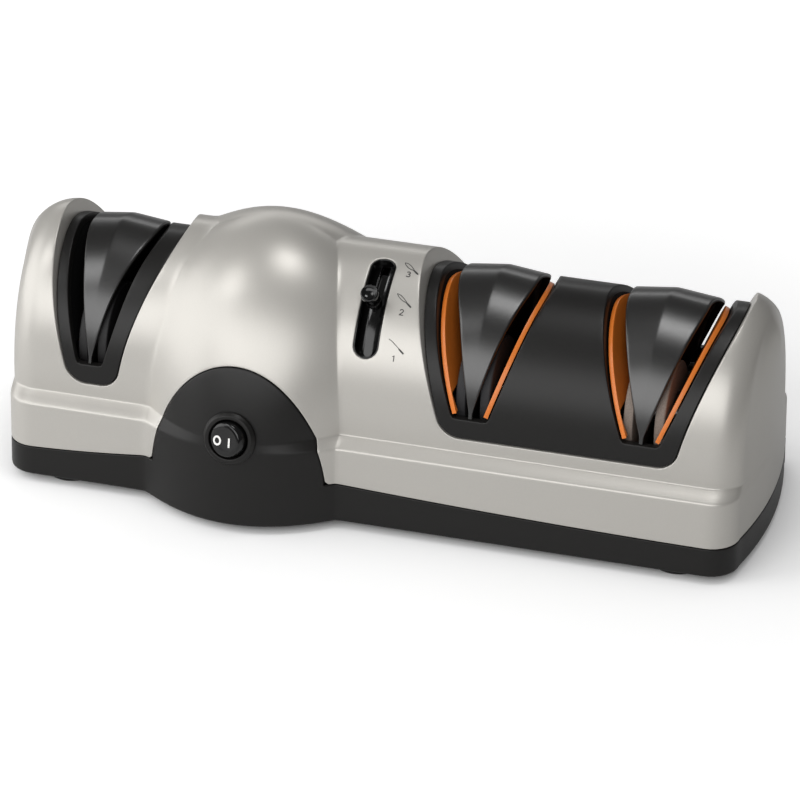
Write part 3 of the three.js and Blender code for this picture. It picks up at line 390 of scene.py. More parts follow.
def gradient(keep, points):
    """The direction in which a rule grows fastest, at each point."""
    step = 0.01
    g = np.stack([(keep(points + move) - keep(points - move)) / (2 * step)
                  for move in np.eye(3) * step], axis=-1)
    return g / np.maximum(np.linalg.norm(g, axis=-1, keepdims=True), 1e-9)


SNAP, LEAST_SLOPE = 0.2, 0.2


def trimmed_shell(outer, inner, keep, fillet, depth, wrap=True, thickness=WALL):
    """Cuts a grid where keep() falls under the fillet's size, and closes it with rims and an inner skin.
    Faces point out of outer, whose rows and columns run so that along x down points outwards."""
    rows, cols = outer.shape[:2]
    value = keep(outer.reshape(-1, 3)).reshape(rows, cols) - fillet
    normal = grid_normals(outer, wrap)
    point, twin, facing, on_edge = [], [], [], []
    at_corner = -np.ones((rows, cols), int)
    moved, crossed = {}, {}

    # Corners that lie almost on the edge move onto it, so that no sliver is left
    for r in range(rows):
        for c in range(cols):
            v, near = value[r, c], []
            for dr, dc in ((0, 1), (0, -1), (1, 0), (-1, 0)):
                r2, c2 = (r + dr) % rows if wrap else r + dr, c + dc
                if 0 <= r2 < rows and 0 <= c2 < cols and v * value[r2, c2] < 0:
                    near.append((v / (v - value[r2, c2]), (r2, c2)))
            if near and min(near)[0] < SNAP:
                moved[(r, c)] = min(near, key=lambda found: found[0])
    for place in moved:
        value[place] = 0.0

    def add(p, q, n, edge):
        point.append(p)
        twin.append(q)
        facing.append(n)
        on_edge.append(edge)
        return len(point) - 1

    def between(a, b, t):
        """A new corner on the edge, a share t of the way from one grid point to another."""
        n = normal[a] * (1 - t) + normal[b] * t
        n = n / np.linalg.norm(n)
        p = outer[a] * (1 - t) + outer[b] * t
        return add(p, p - thickness * n, n, True)

    def home(r, c):
        """At the two ends the front and rear rows meet in one line, and share its points."""
        return (min(r, rows - 1 - r), c) if wrap and c in (0, cols - 1) else (r, c)

    def corner(r, c):
        r, c = home(r, c)
        if at_corner[r, c] < 0:
            if (r, c) in moved:
                t, other = moved[(r, c)]
                at_corner[r, c] = between((r, c), other, t)
            else:
                at_corner[r, c] = add(outer[r, c], inner[r, c], normal[r, c], value[r, c] == 0)
        return at_corner[r, c]

    def cut(a, b):
        a, b = home(*a), home(*b)
        key = (a, b) if a < b else (b, a)
        if key not in crossed:
            va, vb = (value[q] for q in key)
            crossed[key] = between(*key, va / (va - vb))
        return crossed[key]

    faces = []
    signs = np.sign(value)
    for r in range(rows if wrap else rows - 1):
        r2 = (r + 1) % rows
        for c in range(cols - 1):
            cells = ((r, c), (r2, c), (r2, c + 1), (r, c + 1))
            s = [signs[q] for q in cells]
            if max(s) <= 0:
                continue
            polygon = []
            for i in range(4):
                a, b = cells[i], cells[(i + 1) % 4]
                if s[i] >= 0:
                    polygon.append(corner(*a))
                if s[i] * s[(i + 1) % 4] < 0:
                    polygon.append(cut(a, b))
            polygon = [v for i, v in enumerate(polygon) if v != polygon[i - 1]]
            if len(polygon) > 2:
                faces.append(polygon)
    # Cells run down and then along, so they face outwards after a flip
    faces = [f[::-1] for f in faces]

    count, verts, facing = len(point), np.array(point + twin), np.array(facing)
    half_edges = {(a, b): True for f in faces for a, b in zip(f, f[1:] + f[:1])}
    border = {a: b for a, b in half_edges if (b, a) not in half_edges}
    all_faces = faces + [[v + count for v in f[::-1]] for f in faces]

    extra, seen = [], set()
    for start in list(border):
        if start in seen:
            continue
        loop, here = [], start
        while here not in seen and here in border:
            loop.append(here)
            seen.add(here)
            here = border[here]
        closed = here == start
        if not all(on_edge[v] for v in loop):
            pairs = list(zip(loop, loop[1:] + ([loop[0]] if closed else [])))
            if not closed and here in half_edges:
                pairs.append((loop[-1], here))
            all_faces += [[b, a, a + count, b + count] for a, b in pairs]
            continue
        a, n = verts[loop], facing[loop]
        m = gradient(keep, a)
        tangent = m - n * np.sum(m * n, axis=1, keepdims=True)
        slope = np.maximum(np.linalg.norm(tangent, axis=1, keepdims=True), LEAST_SLOPE)
        toward = -tangent / slope
        wall = -(n - m * np.sum(n * m, axis=1, keepdims=True))
        wall /= np.maximum(np.linalg.norm(wall, axis=1, keepdims=True), 1e-6)
        brink = a + toward * (fillet / slope)
        foot = brink + wall * fillet
        rings = [(1 - s) ** 2 * a + 2 * s * (1 - s) * brink + s ** 2 * foot
                 for s in (0.25, 0.5, 0.75, 1.0)]
        reach = depth(a) if callable(depth) else np.full(len(a), depth)
        reach = np.maximum(reach, thickness)[:, None]
        rings += [brink + wall * (fillet + (reach - fillet) * 0.5), brink + wall * reach,
                  brink + wall * reach + m * fillet]
        size = len(loop)
        bands = [loop]
        for ring in rings:
            bands.append([2 * count + len(extra) + i for i in range(size)])
            extra.extend(ring)
        bands.append([v + count for v in loop])
        for near, far in zip(bands, bands[1:]):
            for i in range(size if closed else size - 1):
                j = (i + 1) % size
                all_faces.append([near[j], near[i], far[i], far[j]])
    return np.concatenate([verts, np.array(extra)]) if extra else verts, all_faces


# %% [markdown]
# ## Where the skin is open
# The parting line between the case and the base is a shallow curve that jumps up round the switch
# panel as half an ellipse. The inserts sit in openings that widen upwards, and each stage's slot is a
# V. The selector's slot is a stadium bent over the arch.

# %% Rules of the openings
FIT, CASE_GAP = 0.3, 0.55
PARTING_END, PARTING_RISE = 16.8, 4.7
PANEL_HALF, PANEL_FOOT, PANEL_RISE = 40.0, 12.0, 61.0
OUTLINE_LEVEL, INSERT_FOOT, INSERT_DROP, INSERT_WALL = 60.0, 48.6, 6.5, 2.6
INSERT_CORNER, SLOT_CORNER, BOW_RUN, BOW_POWER = 7.0, 1.2, 42.7, 8
# Each pair of values is for the left and the right side of a stage. x is the stage's middle, slot half
# the slot's width, tip half the hood's width at its foot, and lining what a guide takes of the slot
STAGES = {
    "1": {"x": 45.7, "slot": 9.0, "slope": (0.375, 0.33), "bow": (0.0, 2.6), "tip": 0.9, "hood": 0.26,
          "flare": (6.6, 5.9), "lining": 2.6},
    "2": {"x": 120.8, "slot": 9.3, "slope": (0.4, 0.41), "bow": (0.0, 2.2), "tip": 0.9, "hood": 0.33,
          "flare": (3.4, 3.4), "lining": 2.6},
    "3": {"x": -126.8, "slot": 6.6, "slope": (0.29, 0.245), "bow": (0.0, 4.0), "tip": 0.7, "hood": 0.23,
          "flare": (3.8, 8.2), "lining": 0.0},
}
LEFT_INSERT = {"left": -138.9, "right": -112.7, "left_slope": 0.3, "right_slope": 0.2,
               "left_bow": -0.001, "right_bow": 0.0035}
RIGHT_INSERT = {"left": 30.3, "right": 138.1, "left_slope": 0.34, "right_slope": 0.27,
                "left_bow": 0.0, "right_bow": 0.0028}
SLOT_FLOOR = 57.0
PIVOT_Y, PIVOT_Z, PIVOT_R = 11.284, 53.273, 57.874
SLOT_HIGH, SLOT_MID, SLOT_LOW = 1.8986, 2.2845, 2.7274
SELECTOR_X, SELECTOR_HALF = -3.0, 5.65
SWITCH_Z = 44.0
SWITCH_Y = -NOSE_REACH * math.sqrt(1 - (SWITCH_Z / DOME_TOP) ** 2)
SWITCH_LEAN = math.atan((NOSE_REACH / DOME_TOP) ** 2 * SWITCH_Z / -SWITCH_Y)
SWITCH = np.array([DOME_X, SWITCH_Y, SWITCH_Z])
SWITCH_OUT = np.array([0, -math.cos(SWITCH_LEAN), math.sin(SWITCH_LEAN)])
SWITCH_HOLE, PARTING_GAP, OUT_OF_REACH = 9.9, 0.35, 99.0
POST_X, POST_Y, SCREW_RECESS, NOSE_ONLY, UNDERSIDE = 154.6, 27.0, 3.7, -40.0, 8.0
# The rounds and the depths of the walls of the openings
CASE_ROUND, BASE_ROUND, INSERT_ROUND = 0.55, 0.45, 0.5
PARTING_DEPTH, TRACK_DEPTH, CASE_DEPTH, INSERT_DEPTH, EDGE_BAND = 2.6, 5.0, 11.0, 3.2, 2.0
SLOT_MIDDLE, SLOT_REACH = (SLOT_LOW + SLOT_HIGH) / 2, (SLOT_LOW - SLOT_HIGH) / 2


def both(a, b, radius):
    """Inside both edges, with a rounded corner where they meet."""
    near = (a < radius) & (b < radius)
    return np.where(near, radius - np.hypot(radius - a, radius - b), np.minimum(a, b))


def inside_insert(p, insert, grow):
    """How far a point lies inside an insert's outline, which is grown by a gap."""
    x, up = p[:, 0], p[:, 2] - OUTLINE_LEVEL
    sides = []
    for label, sign in SIDES.items():
        slope, bow = insert[label + "_slope"], insert[label + "_bow"]
        off = sign * (insert[label] - x) + grow + slope * up + bow * up * up
        sides.append(off / np.hypot(1, slope + 2 * bow * up))
    foot = p[:, 2] - INSERT_FOOT + grow
    return np.minimum(*[both(side, foot, INSERT_CORNER) for side in sides])


def slot_half(stage, z, right):
    """Half the slot's width at a height: a straight lean, and a lead-in that opens near the crest."""
    up = z - OUTLINE_LEVEL
    lead = (np.clip(up, 0, None) / BOW_RUN) ** BOW_POWER
    slope, bow = (np.where(right, stage[key][1], stage[key][0]) for key in ("slope", "bow"))
    return stage["slot"] + slope * up + bow * lead


def inside_slot(p, stage):
    off = p[:, 0] - stage["x"]
    side = (slot_half(stage, p[:, 2], off > 0) - np.abs(off)) / math.hypot(1, stage["slope"][1])
    return both(side, p[:, 2] - SLOT_FLOOR, SLOT_CORNER)


def below_parting(p):
    """How far a point lies under the parting line, or inside the switch panel in front."""
    x, y, z = p.T
    left, right = DOME_X - PANEL_HALF, DOME_X + PANEL_HALF
    share = np.where(x < left, (left - x) / (LENGTH / 2 + left), (x - right) / (LENGTH / 2 - right))
    line = PARTING_END + PARTING_RISE * (1 - np.clip(share, 0, 1)) ** 2
    u, v = (x - DOME_X) / PANEL_HALF, (z - PANEL_FOOT) / PANEL_RISE
    r = np.maximum(np.hypot(u, v), 1e-6)
    panel = (1 - r) * r / np.maximum(np.hypot(u / PANEL_HALF, v / PANEL_RISE), 1e-6)
    return np.where(y < 0, np.maximum(line - z, panel), line - z)


def beyond(p, middle, reach):
    """How far each point's turn about the lever's axle passes reach, and how far it is across."""
    turn = np.arctan2(p[:, 2] - PIVOT_Z, p[:, 1] - PIVOT_Y)
    return np.maximum(np.abs(turn - middle) - reach, 0) * PIVOT_R, p[:, 0] - SELECTOR_X


def inside_selector(p):
    return SELECTOR_HALF - np.hypot(*beyond(p, SLOT_MIDDLE, SLOT_REACH - SELECTOR_HALF / PIVOT_R))


def keep_housing(p):
    return np.minimum.reduce([
        -inside_insert(p, LEFT_INSERT, CASE_GAP), -inside_insert(p, RIGHT_INSERT, CASE_GAP),
        -below_parting(p) - PARTING_GAP / 2, -inside_selector(p),
    ])


def housing_depth(p):
    """How deep the wall of each opening goes: shallow at the parting line, deep round an insert."""
    at_parting, at_selector = (np.abs(rule(p)) < EDGE_BAND for rule in (below_parting, inside_selector))
    return np.where(at_parting, PARTING_DEPTH, np.where(at_selector, TRACK_DEPTH, CASE_DEPTH))


def keep_base(p):
    off = p - SWITCH
    off = off - (off @ SWITCH_OUT)[:, None] * SWITCH_OUT
    hole = np.where(p[:, 1] < NOSE_ONLY, np.linalg.norm(off, axis=1) - SWITCH_HOLE, OUT_OF_REACH)
    screw = np.hypot(np.abs(p[:, 0]) - POST_X, np.abs(p[:, 1]) - POST_Y) - SCREW_RECESS
    screw = np.where(p[:, 2] < UNDERSIDE, screw, OUT_OF_REACH)
    return np.minimum.reduce([below_parting(p) - PARTING_GAP / 2, hole, screw])


# %% [markdown]
# ## The case and the base
# Both are cut from the same skin. The case keeps what is above the parting line, the base what is
# below it, and the hair-wide gap between their rounded edges is the dark line that the eye reads as
# two mouldings.

# %% Silver case
verts, faces = trimmed_shell(outer_skin, inner_skin, keep_housing, CASE_ROUND, housing_depth)
piece("silver_case", verts, faces, silver_paint, "casing", "silver", ["upper_housing"])

# %% Black base with the switch panel
verts, faces = trimmed_shell(outer_skin, inner_skin, keep_base, BASE_ROUND, PARTING_DEPTH)
piece("black_base", verts, faces, black_abs, "casing", "black", ["base_pan"])

# %% [markdown]
# ## The inserts
# Each insert follows the arch of the case, but its crest lies 6.5 mm lower, so the case stands round
# it as a rim at the top and runs flush with it at the front.


# %% Black inserts
INSERT_PITCH, INSERT_EDGE = 1.5, 0.05


def arch_grid(x0, x1, less):
    phi = np.linspace(INSERT_EDGE, math.pi - INSERT_EDGE, ARCH_ROWS)[:, None]
    x = np.linspace(x0, x1, int((x1 - x0) / INSERT_PITCH))[None, :]
    y, z = arch(phi, ARCH_DEPTH - less, ARCH_HEIGHT - INSERT_DROP - less)
    return np.stack(np.broadcast_arrays(x, y, z), axis=-1)


def make_insert(name, insert, numbers, x0, x1, node_name):
    def keep(p):
        slots = [-inside_slot(p, STAGES[n]) for n in numbers]
        return np.minimum.reduce([inside_insert(p, insert, 0.0)] + slots)

    outer, inner = (arch_grid(x0, x1, less) for less in (0.0, INSERT_WALL))
    verts, faces = trimmed_shell(outer, inner, keep, INSERT_ROUND, INSERT_DEPTH, wrap=False,
                                 thickness=INSERT_WALL)
    piece(name, verts, faces, black_abs, "casing", "black", [node_name])


make_insert("insert_left", LEFT_INSERT, ["3"], -160, -92, "stage_3_insert")
make_insert("insert_right", RIGHT_INSERT, ["1", "2"], 6, 166, "stage_1_2_insert")

# %% [markdown]
# ## The hoods
# A hood is the arched cover between the two slots of a stage. It is a thin sheet with a low gable and
# rounded lips, and it flares towards its crest. Behind the crest it stays wide, so that the slot is
# just a blade's width there. Its side walls stand back under the lips and go down to the wheels. The
# whole section is swept over the arch, so its width changes all the way along.

# %% Hoods
SHAFT_Y, SHAFT_Z, POCKET = -20.0, 60.0, 23.9
HOOD_RISE, HOOD_FALL, HOOD_SPAN, HOOD_SETBACK, HOOD_WALL = 2.8, 2.9, 21.0, 1.2, 2.0
HOOD_SHEET, LIP_ROUND, LIP_REACH, LIP_START, LIP_GROWTH = 2.0, 0.8, 3.5, 1.2, 12.0
TIP_TOP, HOOD_CREST, FLARE_POWER, RIDGE_EASE, LEAST_HALF = 60.0, 105.5, 5, 0.3, 0.12
REAR_FLARE, REAR_RUN, BLADE_GAP = 8.0, 34.0, 1.3


def hood_half(stage, z, side=-1, y=-1.0):
    """Half a hood's width at a height. It flares to its crest, and stays wide behind it."""
    rise = np.clip(z - TIP_TOP, 0, None)
    flare = stage["flare"][side > 0]
    half = stage["tip"] + stage["hood"] * rise + flare * (rise / (HOOD_CREST - TIP_TOP)) ** FLARE_POWER
    behind = np.clip(y / REAR_RUN, 0, 1)
    wider = half + REAR_FLARE * behind * behind * (3 - 2 * behind)
    room = slot_half(stage, z, side > 0) - stage["lining"] - BLADE_GAP
    return np.where(y > 0, np.maximum(half, np.minimum(wider, room)), half)


def set_back(half):
    """How far a side wall stands back under the lip: nothing at the tip, all of it at the crest."""
    return LIP_REACH * np.clip((half - LIP_START) / LIP_GROWTH, 0, 1)


def swept(columns, closed=False):
    """Columns of points, each as long as the sweep, close round into one solid. Where the sweep is
    closed, its last row joins its first, and else both get a cap."""
    grid = np.stack(columns, axis=1)
    rows, cols = grid.shape[:2]
    faces = []
    for i in range(rows if closed else rows - 1):
        j = (i + 1) % rows
        for a in range(cols):
            b = (a + 1) % cols
            faces.append([i * cols + a, i * cols + b, j * cols + b, j * cols + a])
    if not closed:
        faces += [list(range(cols))[::-1], list(range((rows - 1) * cols, rows * cols))]
    return grid.reshape(-1, 3), faces


def make_hood(number):
    stage = STAGES[number]
    depth, crest = ARCH_DEPTH - HOOD_SETBACK, ARCH_HEIGHT - INSERT_DROP + HOOD_RISE
    low = math.asin(((SLOT_FLOOR + FIT - LEDGE_HIGH) / crest) ** (HEIGHT_POWER / 2))
    phi = np.linspace(low, math.pi - low, 170)

    def at(q, side, less=0.0):
        """A point of the section: q from the middle, and less below the roof."""
        eased = np.sqrt(q * q + RIDGE_EASE) - math.sqrt(RIDGE_EASE)
        y, z = arch(phi, depth - less, crest - less - HOOD_FALL * eased / HOOD_SPAN)
        return np.stack([stage["x"] + side * q, y, z], axis=-1)

    def wall_point(top, side, share, inset=0.0):
        """From the wall's top straight towards the wheels' axle, as far as their pocket."""
        dy, dz = SHAFT_Y - top[:, 1], SHAFT_Z - top[:, 2]
        reach = np.maximum(1 - POCKET / np.hypot(dy, dz), 0.02) * share
        y, z = top[:, 1] + dy * reach, top[:, 2] + dz * reach
        half = hood_half(stage, z, side, y)
        x = stage["x"] + side * np.maximum(half - set_back(half) - inset, LEAST_HALF)
        return np.stack([x, y, z], axis=-1)

    ring = []
    for side in (-1, 1):
        edge = np.full_like(phi, 5.0)
        for _ in range(6):
            point = at(edge, side)
            edge = hood_half(stage, point[:, 2], side, point[:, 1])
        lip_round = np.minimum(LIP_ROUND, 0.45 * edge)
        back = set_back(edge)
        under_round = 0.4 * back / LIP_REACH
        under, wall_half = edge - under_round, np.maximum(edge - back, LEAST_HALF)
        top = at(wall_half, side, HOOD_SHEET)
        inner = [wall_point(top, side, s, HOOD_WALL) for s in (0.12, 0.5, 1.0)][::-1]
        wall = [wall_point(top, side, s) for s in (1.0, 0.75, 0.5, 0.25, 0.1)] + [top]
        lip = [at(under - (under - wall_half) * s, side, HOOD_SHEET) for s in (0.5, 0.0)]
        lip.append(at(edge, side, HOOD_SHEET - under_round))
        for turn in np.linspace(0, math.pi / 2, 6):
            lip.append(at(edge - lip_round * (1 - math.cos(turn)), side, lip_round * (1 - math.sin(turn))))
        facet = [at((edge - lip_round) * s, side)
                 for s in (0.94, 0.82, 0.66, 0.5, 0.36, 0.24, 0.14, 0.07, 0.03)]
        half_ring = inner[::-1] + wall + lip + facet
        ring = half_ring + [at(np.zeros_like(phi), 1)] if side < 0 else ring + half_ring[::-1]
    verts, faces = swept(ring)
    # The inner columns, the side walls and the lips' undersides wear the darker inside finish, painted shade
    # for the hollow under the hood
    shade_painted_columns = len(inner) + len(wall) + 2
    shade_painted_faces = [i % len(ring) < shade_painted_columns or i % len(ring) >= len(ring) - 1 - shade_painted_columns for i in range(len(faces))]
    piece(f"hood_{number}_shell", verts, faces, hood_abs, "casing", "black", [f"hood_{number}"], sharp=42,
          inside=(inside_shade_abs, shade_painted_faces))


for number in STAGES:
    make_hood(number)

# %% [markdown]
# ## The blade guides
# A guide is a plate that leans with the wall of its slot and ends in the arch at the top. Below, it
# stops above the wheel's rim, and in front of it and behind it round the wheel. One rule gives every
# point, so a Geometry Nodes tree makes all four guides, and the black slot walls too, from named sizes.
# Solidify gives the plate its thickness, and Bevel rounds the rim that the knife slides past.

# %% Geometry Nodes tree for a leaning plate
PLATE_INPUTS = {
    "Stage X": 0.0, "Side": 1.0, "Half Width": 6.0, "Lean": 0.4, "Arch Depth": 48.0, "Arch Height": 61.0,
    "Foot Z": 57.6, "Pocket Radius": POCKET, "Cut Height": 8.0, "Bow": 0.0,
}


def start_tree(name, sizes):
    """A tree with its sizes and its finish as named inputs."""
    tree = bpy.data.node_groups.new(name, "GeometryNodeTree")
    for label, value in sizes.items():
        tree.interface.new_socket(label, in_out="INPUT", socket_type="NodeSocketFloat").default_value = value
    tree.interface.new_socket("Finish", in_out="INPUT", socket_type="NodeSocketMaterial")
    tree.interface.new_socket("Geometry", in_out="OUTPUT", socket_type="NodeSocketGeometry")
    return tree, node(tree, "NodeGroupInput").outputs


def end_tree(tree, size, geometry):
    """Makes the shape real, gives it its finish and passes it out of the tree."""
    real = node(tree, "GeometryNodeRealizeInstances", Geometry=geometry).outputs["Geometry"]
    painted = node(tree, "GeometryNodeSetMaterial", Geometry=real, Material=size["Finish"])
    tree.links.new(painted.outputs["Geometry"], node(tree, "NodeGroupOutput").inputs["Geometry"])
    return tree


def plate_tree():
    tree, size = start_tree("leaning_plate", PLATE_INPUTS)

    def maths(operation, *values):
        return node(tree, "ShaderNodeMath", {"operation": operation},
                    **{f"i{i}": v for i, v in enumerate(values)}).outputs[0]

    add, minus, times, over = (partial(maths, name) for name in ("ADD", "SUBTRACT", "MULTIPLY", "DIVIDE"))
    grid = node(tree, "GeometryNodeMeshGrid", Size_X=1.0, Size_Y=1.0, Vertices_X=16, Vertices_Y=140)
    where = node(tree, "GeometryNodeInputPosition").outputs[0]
    at = node(tree, "ShaderNodeSeparateXYZ", Vector=where).outputs
    # down goes from 0 at the arch to 1 at the pocket, and along goes from front to rear
    down, along = add(at[0], 0.5), add(at[1], 0.5)
    rise = over(minus(size["Foot Z"], LEDGE_HIGH), size["Arch Height"])
    low = maths("ARCSINE", maths("POWER", rise, HEIGHT_POWER / 2))
    phi = add(low, times(minus(math.pi, times(low, 2.0)), along))
    cosine = maths("COSINE", phi)
    reach = times(size["Arch Depth"], maths("POWER", maths("ABSOLUTE", cosine), 2 / DEPTH_POWER))
    y = times(times(maths("SIGN", cosine), reach), -1.0)
    up = maths("POWER", maths("SINE", phi), 2 / HEIGHT_POWER)
    z = add(times(size["Arch Height"], up), LEDGE_HIGH)
    off_y, off_z = minus(SHAFT_Y, y), minus(SHAFT_Z, z)
    gap = maths("SQRT", add(times(off_y, off_y), times(off_z, off_z)))
    # The pocket's edge is round the wheel, or level above it, whichever lies further in
    steep = maths("MAXIMUM", over(times(off_z, -1.0), gap), 0.01)
    level = maths("MAXIMUM", over(size["Cut Height"], steep), 8.0)
    pocket = maths("MINIMUM", size["Pocket Radius"], level)
    share = times(down, minus(1.0, over(pocket, gap)))
    y, z = add(y, times(off_y, share)), add(z, times(off_z, share))
    above = minus(z, OUTLINE_LEVEL)
    lead = maths("POWER", over(maths("MAXIMUM", above, 0.0), BOW_RUN), BOW_POWER)
    half = add(size["Half Width"], add(times(size["Lean"], above), times(size["Bow"], lead)))
    x = add(size["Stage X"], times(size["Side"], half))
    point = node(tree, "ShaderNodeCombineXYZ", X=x, Y=y, Z=z).outputs[0]
    home = node(tree, "ShaderNodeVectorMath", {"operation": "ADD"}, i0=point, i1=tuple(SHIFT)).outputs[0]
    metres = node(tree, "ShaderNodeVectorMath", {"operation": "SCALE"}, i0=home, Scale=MM).outputs[0]
    moved = node(tree, "GeometryNodeSetPosition", Geometry=grid.outputs["Mesh"], Position=metres)
    smooth = node(tree, "GeometryNodeSetShadeSmooth", Geometry=moved.outputs["Geometry"])
    return end_tree(tree, size, smooth.outputs["Geometry"])


def grown(name, tree, values, material, body, slot, replaces=(), thickness=0.0, bevel=0.0):
    """Runs a tree on an empty mesh with its sizes set, and keeps the result as a plain mesh."""
    obj = add_object(name, bpy.data.meshes.new(name))
    modifier = obj.modifiers.new("nodes", "NODES")
    modifier.node_group = tree
    for item in tree.interface.items_tree:
        given = {**values, "Finish": material}.get(item.name)
        if item.item_type == "SOCKET" and item.in_out == "INPUT" and given is not None:
            modifier[item.identifier] = given
    if thickness:
        thick = obj.modifiers.new("thick", "SOLIDIFY")
        thick.thickness, thick.offset = thickness * MM, 0.0
    if bevel:
        round_edge = obj.modifiers.new("round", "BEVEL")
        round_edge.width, round_edge.segments, round_edge.limit_method = bevel * MM, 3, "ANGLE"
        round_edge.angle_limit = math.radians(50)
    bpy.context.view_layer.update()
    plain = bpy.data.meshes.new_from_object(obj.evaluated_get(bpy.context.evaluated_depsgraph_get()))
    obj.modifiers.clear()
    obj.data = plain
    plain.name = name
    clean(plain, 40)
    declare(obj, body, slot, replaces)
    print(f"{name}: {len(plain.polygons)} faces from nodes")


# %% Orange guides and black slot walls
GUIDE_WALL, GUIDE_GAP, GUIDE_DROP, GUIDE_SETBACK, GUIDE_FOOT = 2.0, 0.75, 4.2, 0.3, 2.0
WHEEL_R, STANDOUT, WHEEL_CLEAR, LEAST_CUT, LINING_WALL, LINING_GAP = 22.6, 0.6, 1.2, 4.0, 1.4, 0.2


def wheel_face(stage):
    """How far a wheel's outer face stands from the middle of its stage."""
    return float(hood_half(stage, SHAFT_Z + WHEEL_R)) + STANDOUT


def cut_height(stage, side, inner_half):
    """How far above the axle a leaning plate clears the wheel's face."""
    return max((wheel_face(stage) + WHEEL_CLEAR - inner_half) / stage["slope"][side > 0], LEAST_CUT)


leaning = plate_tree()


def leaning_plate(name, stage, side, middle, inner, set_in, drop, foot, *ends, **more):
    """Half widths are measured from the slot's own wall: at the plate's middle and at its inner face."""
    slope, bow = (stage[key][side > 0] for key in ("slope", "bow"))
    grown(name, leaning, {
        "Stage X": stage["x"], "Side": side, "Lean": slope, "Bow": bow, "Half Width": stage["slot"] + middle,
        "Cut Height": cut_height(stage, side, stage["slot"] + inner), "Arch Depth": ARCH_DEPTH - set_in,
        "Arch Height": ARCH_HEIGHT - INSERT_DROP - drop, "Foot Z": SLOT_FLOOR + foot}, *ends, **more)


for number, stage in STAGES.items():
    for label, side in SIDES.items():
        if stage["lining"]:
            leaning_plate(f"guide_plate_{number}_{label}", stage, side, -GUIDE_GAP - GUIDE_WALL / 2,
                          -GUIDE_GAP - GUIDE_WALL, GUIDE_SETBACK, GUIDE_DROP, GUIDE_FOOT, orange_abs,
                          f"{label}_guides", "orange", [f"guide_{number}_{label}"], bevel=0.85,
                          thickness=GUIDE_WALL / math.hypot(1, stage["slope"][side > 0]))
# The black slot walls wear the darker inside finish, painted shade deep in the slots
for number, stage in STAGES.items():
    for label, side in SIDES.items():
        leaning_plate(f"slot_wall_{number}_{label}", stage, side, LINING_GAP + LINING_WALL / 2, LINING_GAP,
                      INSERT_WALL + FIT, INSERT_WALL + FIT, 0.0, inside_shade_abs, "casing", "black",
                      thickness=LINING_WALL)

# %% [markdown]
# ## The wheels
# Each wheel is turned about the shaft, so its section is drawn once and spun. Its rim is broken with a
# small chamfer, because a sharp rim of grit would crumble, and its face is dished at the hub.


# %% A turned piece
def turned(profile, centre, axis, segments):
    """Spins a closed profile of (radius, height) about an axis through a centre."""
    axis = np.asarray(axis, float) / np.linalg.norm(axis)
    across = np.cross(axis, [0.0, 0.0, 1.0] if abs(axis[2]) < 0.9 else [1.0, 0.0, 0.0])
    across /= np.linalg.norm(across)
    third = np.cross(axis, across)
    turn = np.linspace(0, 2 * math.pi, segments, endpoint=False)[:, None]
    count = len(profile)
    verts, faces = swept([np.asarray(centre) + h * axis + r * np.cos(turn) * across + r * np.sin(turn) * third
                          for r, h in profile], closed=True)
    # Where both ends of a line lie on the axis, it spins into nothing
    return verts, [f for i, f in enumerate(faces) if profile[i % count][0] or profile[(i + 1) % count][0]]


def arc_points(centre, radius, start, stop, steps):
    """Points on an arc of a profile, between two angles in degrees."""
    turns = np.radians(np.linspace(start, stop, steps))
    return [(centre[0] + radius * math.cos(a), centre[1] + radius * math.sin(a)) for a in turns]


# %% Grinding wheels
WHEEL_THICK, WHEEL_BORE, HUB_R, HUB_DISH, RIM_BACK, RIM_FACE = 4.4, 4.3, 8.0, 1.2, 0.5, 0.9
for number, stage in STAGES.items():
    face_at = wheel_face(stage)
    profile = [(WHEEL_BORE, 0.0), (WHEEL_R - RIM_BACK, 0.0)]
    profile += arc_points((WHEEL_R - RIM_BACK, RIM_BACK), RIM_BACK, -90, 0, 4)[1:]
    profile += arc_points((WHEEL_R - RIM_FACE, WHEEL_THICK - RIM_FACE), RIM_FACE, 0, 90, 6)
    profile += [(HUB_R + HUB_DISH, WHEEL_THICK), (HUB_R, WHEEL_THICK - HUB_DISH),
                (WHEEL_BORE, WHEEL_THICK - HUB_DISH)]
    for label, side in SIDES.items():
        start = stage["x"] + side * (face_at - WHEEL_THICK)
        verts, faces = turned(profile, (start, SHAFT_Y, SHAFT_Z), (side, 0, 0), 120)
        piece(f"grinding_wheel_{number}_{label}", verts, faces, STAGE_GRIT_AND_SHADE[number], "drive", "abrasive",
              [f"wheel_{number}_{label}"])

# %% [markdown]
# ## The rocker switch
# A round panel switch: a black ring with a raised lip round its well, and a rocker whose edge follows a
# ball about its axle, so that it clears the ring while it tips. At rest the side marked O is pressed
# in and the side marked I stands up.

# %% Bezel and rocker
SWITCH_UP = np.array([0, math.sin(SWITCH_LEAN), math.cos(SWITCH_LEAN)])
SWITCH_X = np.array([1.0, 0.0, 0.0])
BEZEL_R, BEZEL_H, WELL_R, ROCKER_R, ROCKER_H = 11.7, 2.6, 8.75, 8.4, 4.3
bezel_profile = [(WELL_R, 0.3), (BEZEL_R, 0.3), (BEZEL_R, 0.7)]
bezel_profile += arc_points((BEZEL_R - 0.45, 0.75), 0.45, 0, 62, 4)
bezel_profile += arc_points((10.2, BEZEL_H - 0.5), 0.5, 50, 90, 4)
bezel_profile += arc_points((9.3, BEZEL_H - 0.55), 0.55, 90, 180, 6)
bezel_profile += [(WELL_R, BEZEL_H - 1.2)]
verts, faces = turned(bezel_profile, SWITCH, SWITCH_OUT, 96)
piece("switch_ring", verts, faces, black_abs, "casing", "black", ["switch_bezel"], sharp=50)

